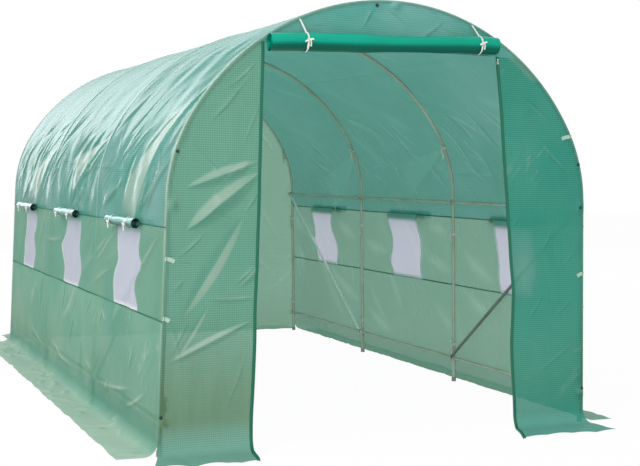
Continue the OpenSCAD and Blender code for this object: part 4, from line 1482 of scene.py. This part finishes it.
class TUNNEL_OT_door_ties(bpy.types.Operator):
    """Tie the rolled door up with two white tapes"""

    bl_idname = "tunnel.door_ties"
    bl_label = "Door ties"

    def execute(self, context):
        sizes, colours, arch = tunnel(context)
        low, high = (np.array(x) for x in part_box("door_roll"))
        y, z = (low[1] + high[1]) / 2, (low[2] + high[2]) / 2
        width = sizes.tape_width
        for name, side in SIDES:
            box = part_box(f"{name}_door_tie")
            x = (box[0][0] + box[1][0]) / 2 - 0.026
            level = z + float(roll_tilt(x))
            face = -(end_face(sizes) + 0.004)
            high_x = x - 0.008
            top = float(arch.top_at(high_x)) - 0.010
            radius = ROLL_RADIUS + 0.0027
            angles = np.linspace(0.42 * np.pi, 2.5 * np.pi, 44)
            around = (y + radius * np.cos(angles), level + radius * np.sin(angles))
            ring = np.stack([np.full(44, x), *around], -1)
            strap = np.linspace((high_x, face, top), (x, y - radius - 0.001, level + 0.004), 14)
            strap[:, 1] -= 0.003 * np.sin(np.linspace(0, np.pi, 14))
            rng = np.random.default_rng(70 + side)
            tapes = [(ring, (1, 0, 0), width * 0.75, 0.0012), (strap, (1, 0, 0), width * 0.75, 0.0012)]
            knot = (x, y - radius - 0.002, level + 0.006)
            tapes += bow_tapes(knot, (1, 0, 0.35), (0, -1, 0.1), 0.019, width * 0.7, 0.001, rng)
            fit(tape_piece(f"{name}_door_tie_tape", tapes), finish_of("white_tape", colours), "tie_tape",
                f"{name}_door_tie")
        return {"FINISHED"}


class TUNNEL_OT_flap_ties(bpy.types.Operator):
    """Tie each rolled flap up with two white tapes"""

    bl_idname = "tunnel.flap_ties"
    bl_label = "Flap ties"

    def execute(self, context):
        sizes, colours, _ = tunnel(context)
        bay = sizes.length / 3
        width = sizes.tape_width
        for name, side in SIDES:
            x, z, radius = flap_line(name)
            radius += 0.001
            tapes = []
            rng = np.random.default_rng(90 + side)
            angles = np.linspace(0.5 * np.pi, 2.55 * np.pi, 36)
            across, high = x + side * radius * np.cos(angles), z + radius * np.sin(angles)
            for index in range(3):
                for hand in (-1, 1):
                    y = (index - 1) * bay + hand * 0.14
                    tapes.append((np.stack([across, np.full(36, y), high], -1), (0, 1, 0), width, 0.0012))
                    knot = (x + side * radius, y, z - 0.004)
                    tapes += bow_tapes(knot, (0, 1, 0), (side, 0, 0.1), 0.017, width * 0.85, 0.001, rng)
            fit(tape_piece(f"{name}_flap_tie_tapes", tapes), finish_of("white_tape", colours), "tie_tape",
                f"{name}_flap_ties")
        return {"FINISHED"}


HOOPS = ("front", "second", "third", "rear")
# Distance of the upper hoop ties from the ridge, and heights of the lower ones.
TIE_RUN, TIE_HEIGHTS = 1.16, (0.83, 0.21)
# Side, height and length, as a share of the panel's width, of each sewn-down tape end.
TIE_TABS = ((1, 1.344, 0.16), (1, 0.705, 0.09), (-1, 0.800, 0.10), (-1, 0.560, 0.07))


class TUNNEL_OT_cover_ties(bpy.types.Operator):
    """Tie the cover to the hoops with white tapes, their ends sewn down on the front panels"""

    bl_idname = "tunnel.cover_ties"
    bl_label = "Cover ties"

    def execute(self, context):
        sizes, colours, arch = tunnel(context)
        axis = Arch(sizes, 0.0)
        rng = np.random.default_rng(120)
        radius = sizes.tube_width / 2 + 0.0007
        angles = np.linspace(0, 2 * np.pi, 25)[:, None]
        along = np.array([0, 1, 0])
        for name, hoop in zip(HOOPS, hoop_places(sizes)):
            tapes = []
            for _, side in SIDES:
                for run in (TIE_RUN, *(axis.run_at(z) for z in TIE_HEIGHTS)):
                    x, z, nx, nz = (float(v) for v in axis.line(run))
                    centre = np.array([side * x, hoop, z])
                    out = np.array([side * nx, 0, nz])
                    across = np.cross(out, along)
                    ring = centre + radius * (out * np.cos(angles) + along * np.sin(angles))
                    tapes.append((ring, across, 0.013, 0.001))
                    inward = along * (0.4 if name == "front" else -0.4) - out
                    knot = centre + inward / np.linalg.norm(inward) * (radius + 0.001)
                    tapes += bow_tapes(knot, across, inward, 0.029, 0.012, 0.001, rng)
            fit(tape_piece(f"{name}_hoop_ties", tapes), finish_of("white_tape", colours), "tie_tape")
        wall = EndWall(sizes, arch).drops(sizes.door_top)[1]
        tabs = []
        for side, z, inward in TIE_TABS:
            share = np.linspace(1.0, 1.0 - inward, 9)
            drop = sizes.door_top - z + 0.012 * np.linspace(0, 1, 9) ** 2
            path = front_panel_points(sizes, arch, side, share, drop, wall)[0]
            path[:, 1] -= 0.0022
            tabs.append((path, (0, 0, 1), 0.017, 0.0012))
        fit(tape_piece("front_tie_tabs", tabs), finish_of("tab_film", colours), "tie_tape")
        return {"FINISHED"}


def start_model(name, vertices, radius, depth):
    """Add a prism to be shaped, alone selected, in edit mode."""
    bpy.ops.object.select_all(action="DESELECT")
    bpy.ops.mesh.primitive_cylinder_add(vertices=vertices, radius=radius, depth=depth)
    piece = bpy.context.active_object
    piece.name = name
    bpy.ops.object.mode_set(mode="EDIT")
    return piece


def select_faces(piece, test):
    """Select the faces of a piece in edit mode that pass a test on their middle and normal."""
    bpy.ops.mesh.select_mode(type="FACE")
    mesh = bmesh.from_edit_mesh(piece.data)
    for face in mesh.faces:
        face.select_set(bool(test(face.calc_center_median(), face.normal)))
    mesh.select_flush_mode()
    bmesh.update_edit_mesh(piece.data)


def raise_face(inset, height):
    """Inset the selected face and draw it out along Z."""
    bpy.ops.mesh.inset(thickness=inset)
    bpy.ops.mesh.extrude_region_move(TRANSFORM_OT_translate={"value": (0, 0, height)})


def end_model(piece, bevel):
    """Leave edit mode, round the edges and smooth the piece."""
    bpy.ops.object.mode_set(mode="OBJECT")
    rounding = piece.modifiers.new("rounding", "BEVEL")
    rounding.width = bevel
    rounding.segments = 2
    rounding.limit_method = "ANGLE"
    bpy.ops.object.modifier_apply(modifier=rounding.name)
    bpy.ops.object.shade_smooth_by_angle(angle=math.radians(35))


def spread_copies(model, name, places):
    """Copy a model to several places as one piece."""
    bpy.ops.object.select_all(action="DESELECT")
    copies = []
    for matrix in places:
        mesh = model.data.copy()
        mesh.transform(matrix)
        copy = bpy.data.objects.new(name, mesh)
        bpy.context.scene.collection.objects.link(copy)
        copy.select_set(True)
        copies.append(copy)
    bpy.context.view_layer.objects.active = copies[0]
    if len(copies) > 1:
        bpy.ops.object.join()
    copies[0].name = name
    return copies[0]


def turned_to(direction, place):
    """Matrix that turns Z to a direction and moves to a place."""
    turn = Vector((0, 0, 1)).rotation_difference(Vector(direction).normalized())
    return Matrix.Translation(Vector(place)) @ turn.to_matrix().to_4x4()


RAIL_BOLT_HEIGHTS = (1.01, 0.137)
# From the leg's axis in to the face under the nut, at the end hoops and where two rails meet.
END_JOINT, LAPPED_JOINT = 0.0145, 0.0205


class TUNNEL_OT_rail_bolts(bpy.types.Operator):
    """Put a wing nut with its bolt end on each rail joint"""

    bl_idname = "tunnel.rail_bolts"
    bl_label = "Rail bolts"

    def execute(self, context):
        sizes, colours, _ = tunnel(context)
        nut = start_model("wing_nut", 12, 0.0058, 0.006)
        select_faces(nut, lambda c, n: abs(n.x) > 0.9)
        bpy.ops.mesh.extrude_faces_move(TRANSFORM_OT_shrink_fatten={"value": 0.009})
        bpy.ops.transform.resize(value=(1, 2.2, 1.7))
        select_faces(nut, lambda c, n: n.z > 0.9 and abs(c.x) < 0.003)
        raise_face(0.0022, 0.006)
        end_model(nut, 0.0006)
        axis = Arch(sizes, 0.0)
        for name, side in SIDES:
            places = []
            for z in RAIL_BOLT_HEIGHTS:
                x = axis.leg_start[0] + (axis.leg_start[1] - z) * math.tan(axis.lean)
                for index, hoop in enumerate(hoop_places(sizes)):
                    deep = END_JOINT if index in (0, 3) else LAPPED_JOINT
                    places.append(turned_to((-side, 0, -0.03), (side * (x - deep - 0.0035), hoop, z)))
            piece = spread_copies(nut, f"{name}_wing_nuts", places)
            fit(piece, finish_of("galvanised_tube", colours), "steel")
        bpy.data.objects.remove(nut)
        return {"FINISHED"}


# Side and height of the caps on the legs and shoulders of the end hoops.
HOOP_CAPS = ((-1, 1.231), (-1, 0.160), (1, 1.215), (1, 0.160))


class TUNNEL_OT_hoop_caps(bpy.types.Operator):
    """Press dark caps on where the hoop bolts come through the end walls"""

    bl_idname = "tunnel.hoop_caps"
    bl_label = "Hoop caps"

    def execute(self, context):
        sizes, colours, _ = tunnel(context)
        cap = start_model("hoop_cap", 20, 0.0075, 0.004)
        select_faces(cap, lambda c, n: n.z > 0.9)
        raise_face(0.0022, 0.0026)
        raise_face(0.0016, 0.0012)
        end_model(cap, 0.0007)
        axis = Arch(sizes, 0.0)
        face = end_face(sizes) + 0.0022
        for name, hand in ENDS:
            points = [
                (side * (float(axis.width_at(z)) + 0.003), hand * face, z) for side, z in HOOP_CAPS]
            across, high = RAIL_ENDS[0][:2]
            points.append((across, hand * (face + 0.0105), high))
            points.append((-0.09, hand * face, float(axis.top_at(0.09)) - 0.012))
            places = [turned_to((0, hand, 0), point) for point in points]
            piece = spread_copies(cap, f"{name}_hoop_caps", places)
            fit(piece, finish_of("black_plastic", colours), "foot_cap")
        bpy.data.objects.remove(cap)
        return {"FINISHED"}


class TUNNEL_OT_zip_slider(bpy.types.Operator):
    """Hang the zip slider with its pull at the top of the right door edge"""

    bl_idname = "tunnel.zip_slider"
    bl_label = "Zip slider"

    def execute(self, context):
        sizes, colours, _ = tunnel(context)
        slider = start_model("zip_slider", 16, 0.0055, 0.005)
        select_faces(slider, lambda c, n: n.y < -0.9)
        bpy.ops.mesh.extrude_faces_move(TRANSFORM_OT_shrink_fatten={"value": 0.012})
        bpy.ops.transform.resize(value=(1.5, 1, 0.7))
        bpy.ops.mesh.extrude_region_move(TRANSFORM_OT_translate={"value": (0, -0.022, 0)})
        bpy.ops.transform.resize(value=(1.5, 1, 0.8))
        end_model(slider, 0.0007)
        stand = Matrix.Rotation(math.radians(90), 4, "X")
        z = sizes.door_top - 0.012
        x = float(door_edge(z, 1)) + 0.004
        face = -(end_face(sizes) + 0.007)
        place = Matrix.Translation((x, face, z)) @ stand @ Matrix.Diagonal((0.55, 0.55, 0.55, 1))
        piece = spread_copies(slider, "zip_pull", [place])
        fit(piece, finish_of("white_plastic", colours), "tie_tape")
        bpy.data.objects.remove(slider)
        return {"FINISHED"}


class TUNNEL_OT_frame_finish(bpy.types.Operator):
    """Give the tubes and foot caps of the frame their finishes"""

    bl_idname = "tunnel.frame_finish"
    bl_label = "Frame finish"

    def execute(self, context):
        colours = context.scene.tunnel_colours
        for name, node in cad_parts.items():
            if node.hide_render:
                continue
            finish = "brace_tube" if "braces" in name else "galvanised_tube"
            if "foot_caps" in name:
                finish = "grey_plastic"
            node.data.materials.clear()
            node.data.materials.append(finish_of(finish, colours))
        return {"FINISHED"}


FLOOR_COLOUR = (0.86, 0.86, 0.86, 1)
# Name, place, point aimed at, width, height, power and colour of each lamp.
LAMPS = (
    ("key", (-6.5, -3.5, 6.0), (0, 0, 0.8), 5.0, 5.0, 420.0, (1, 1, 1)),
    ("fill", (-2.6, -9.5, 3.0), (0.3, 0, 0.9), 3.2, 3.2, 165.0, (1, 1, 1)),
    ("rear", (1.45, 11.0, 3.3), (1.45, 0, 3.3), 8.1, 4.6, 585.0, (0.95, 0.96, 1.0)),
)
CAMERA_PLACE = (-2.374, -6.306, 1.133)
# Yaw, pitch and roll in degrees.
CAMERA_TURN = (24.11, -2.67, 0.93)
CAMERA_LENS = 66.30


def backdrop_rays(graph):
    """One for rays from the camera, off gloss or through film, nought for the others."""
    path = graph.node("ShaderNodeLightPath", {}, {}, 0)
    seen = path
    for output in ("Is Glossy Ray", "Is Transmission Ray"):
        seen = seen.greater(Value(graph, path.socket.node.outputs[output]))
    return seen


def lay_floor(context):
    """Lay a floor that looks almost white and is pale grey to the light that falls on it."""
    bpy.ops.object.select_all(action="DESELECT")
    bpy.ops.mesh.primitive_plane_add(size=60, location=(0, 0, -0.001))
    floor = context.active_object
    floor.name = "floor"
    material, graph = new_graph("floor")
    seen = backdrop_rays(graph)
    diffuse = graph.node("ShaderNodeBsdfDiffuse", {}, {0: FLOOR_COLOUR})
    white = graph.node("ShaderNodeEmission", {}, {0: WHITE, 1: 1.0})
    graph.output(graph.mix(seen * 0.965, diffuse, white))
    floor.data.materials.append(material)


def light_scene(scene):
    """Light the scene with a white surround and the lamps."""
    world = scene.world or bpy.data.worlds.new("studio")
    scene.world = world
    sky = Graph(world)
    seen = backdrop_rays(sky)
    back = sky.node("ShaderNodeBackground", {}, {0: WHITE, 1: seen * 0.34 + 0.66})
    sky.output(back, "ShaderNodeOutputWorld")
    for name, place, aim, wide, high, power, tone in LAMPS:
        lamp = bpy.data.lights.new(name, "AREA")
        lamp.shape = "RECTANGLE"
        lamp.size = wide
        lamp.size_y = high
        lamp.energy = power
        lamp.color = tone
        light = bpy.data.objects.new(name, lamp)
        light.visible_camera = False
        scene.collection.objects.link(light)
        light.location = place
        light.rotation_euler = (Vector(aim) - Vector(place)).to_track_quat("-Z", "Y").to_euler()


def set_camera(scene):
    """Set the camera up in front of the tunnel, to its left."""
    lens = bpy.data.cameras.new("view")
    lens.sensor_width = 36.0
    lens.sensor_fit = "HORIZONTAL"
    lens.lens = CAMERA_LENS
    camera = bpy.data.objects.new("view", lens)
    scene.collection.objects.link(camera)
    yaw, pitch, roll = (math.radians(a) for a in CAMERA_TURN)
    ahead = Vector((math.sin(yaw) * math.cos(pitch), math.cos(yaw) * math.cos(pitch), math.sin(pitch)))
    right = Vector((math.cos(yaw), -math.sin(yaw), 0))
    up = right.cross(ahead)
    level = right * math.cos(roll) + up * math.sin(roll)
    top = up * math.cos(roll) - right * math.sin(roll)
    turn = Matrix((level, top, -ahead)).transposed()
    camera.matrix_world = Matrix.Translation(CAMERA_PLACE) @ turn.to_4x4()
    scene.camera = camera


class TUNNEL_OT_stage(bpy.types.Operator):
    """Set up the pale floor, the soft light and the camera"""

    bl_idname = "tunnel.stage"
    bl_label = "Stage"

    def execute(self, context):
        lay_floor(context)
        light_scene(context.scene)
        set_camera(context.scene)
        context.scene.view_settings.view_transform = "Standard"
        return {"FINISHED"}


STEPS = (
    TUNNEL_OT_stage, TUNNEL_OT_roof_cover, TUNNEL_OT_window_bands, TUNNEL_OT_window_screens,
    TUNNEL_OT_lower_walls, TUNNEL_OT_front_panels, TUNNEL_OT_head_panel, TUNNEL_OT_rear_panel,
    TUNNEL_OT_seam_tapes, TUNNEL_OT_door_bindings, TUNNEL_OT_door_roll, TUNNEL_OT_flap_rolls,
    TUNNEL_OT_door_ties, TUNNEL_OT_flap_ties, TUNNEL_OT_cover_ties, TUNNEL_OT_rail_bolts,
    TUNNEL_OT_hoop_caps, TUNNEL_OT_zip_slider, TUNNEL_OT_frame_finish,
)


class TUNNEL_PT_panel(bpy.types.Panel):
    """The sizes, the colours and the steps of the tunnel"""

    bl_label = "Polytunnel"
    bl_idname = "TUNNEL_PT_panel"
    bl_space_type = "VIEW_3D"
    bl_region_type = "UI"
    bl_category = "Polytunnel"

    def draw(self, context):
        for group in (context.scene.tunnel_sizes, context.scene.tunnel_colours):
            box = self.layout.box()
            for name in group.__annotations__:
                box.prop(group, name)
        for step in STEPS:
            self.layout.operator(step.bl_idname)


CLASSES = (TunnelSizes, TunnelColours, *STEPS, TUNNEL_PT_panel)


def register():
    for cls in CLASSES:
        bpy.utils.register_class(cls)
    bpy.types.Scene.tunnel_sizes = PointerProperty(type=TunnelSizes)
    bpy.types.Scene.tunnel_colours = PointerProperty(type=TunnelColours)


def unregister():
    del bpy.types.Scene.tunnel_colours
    del bpy.types.Scene.tunnel_sizes
    for cls in reversed(CLASSES):
        bpy.utils.unregister_class(cls)


def main():
    register()
    for step in STEPS:
        group, name = step.bl_idname.split(".")
        getattr(getattr(bpy.ops, group), name)()


if __name__ == "__main__":
    main()
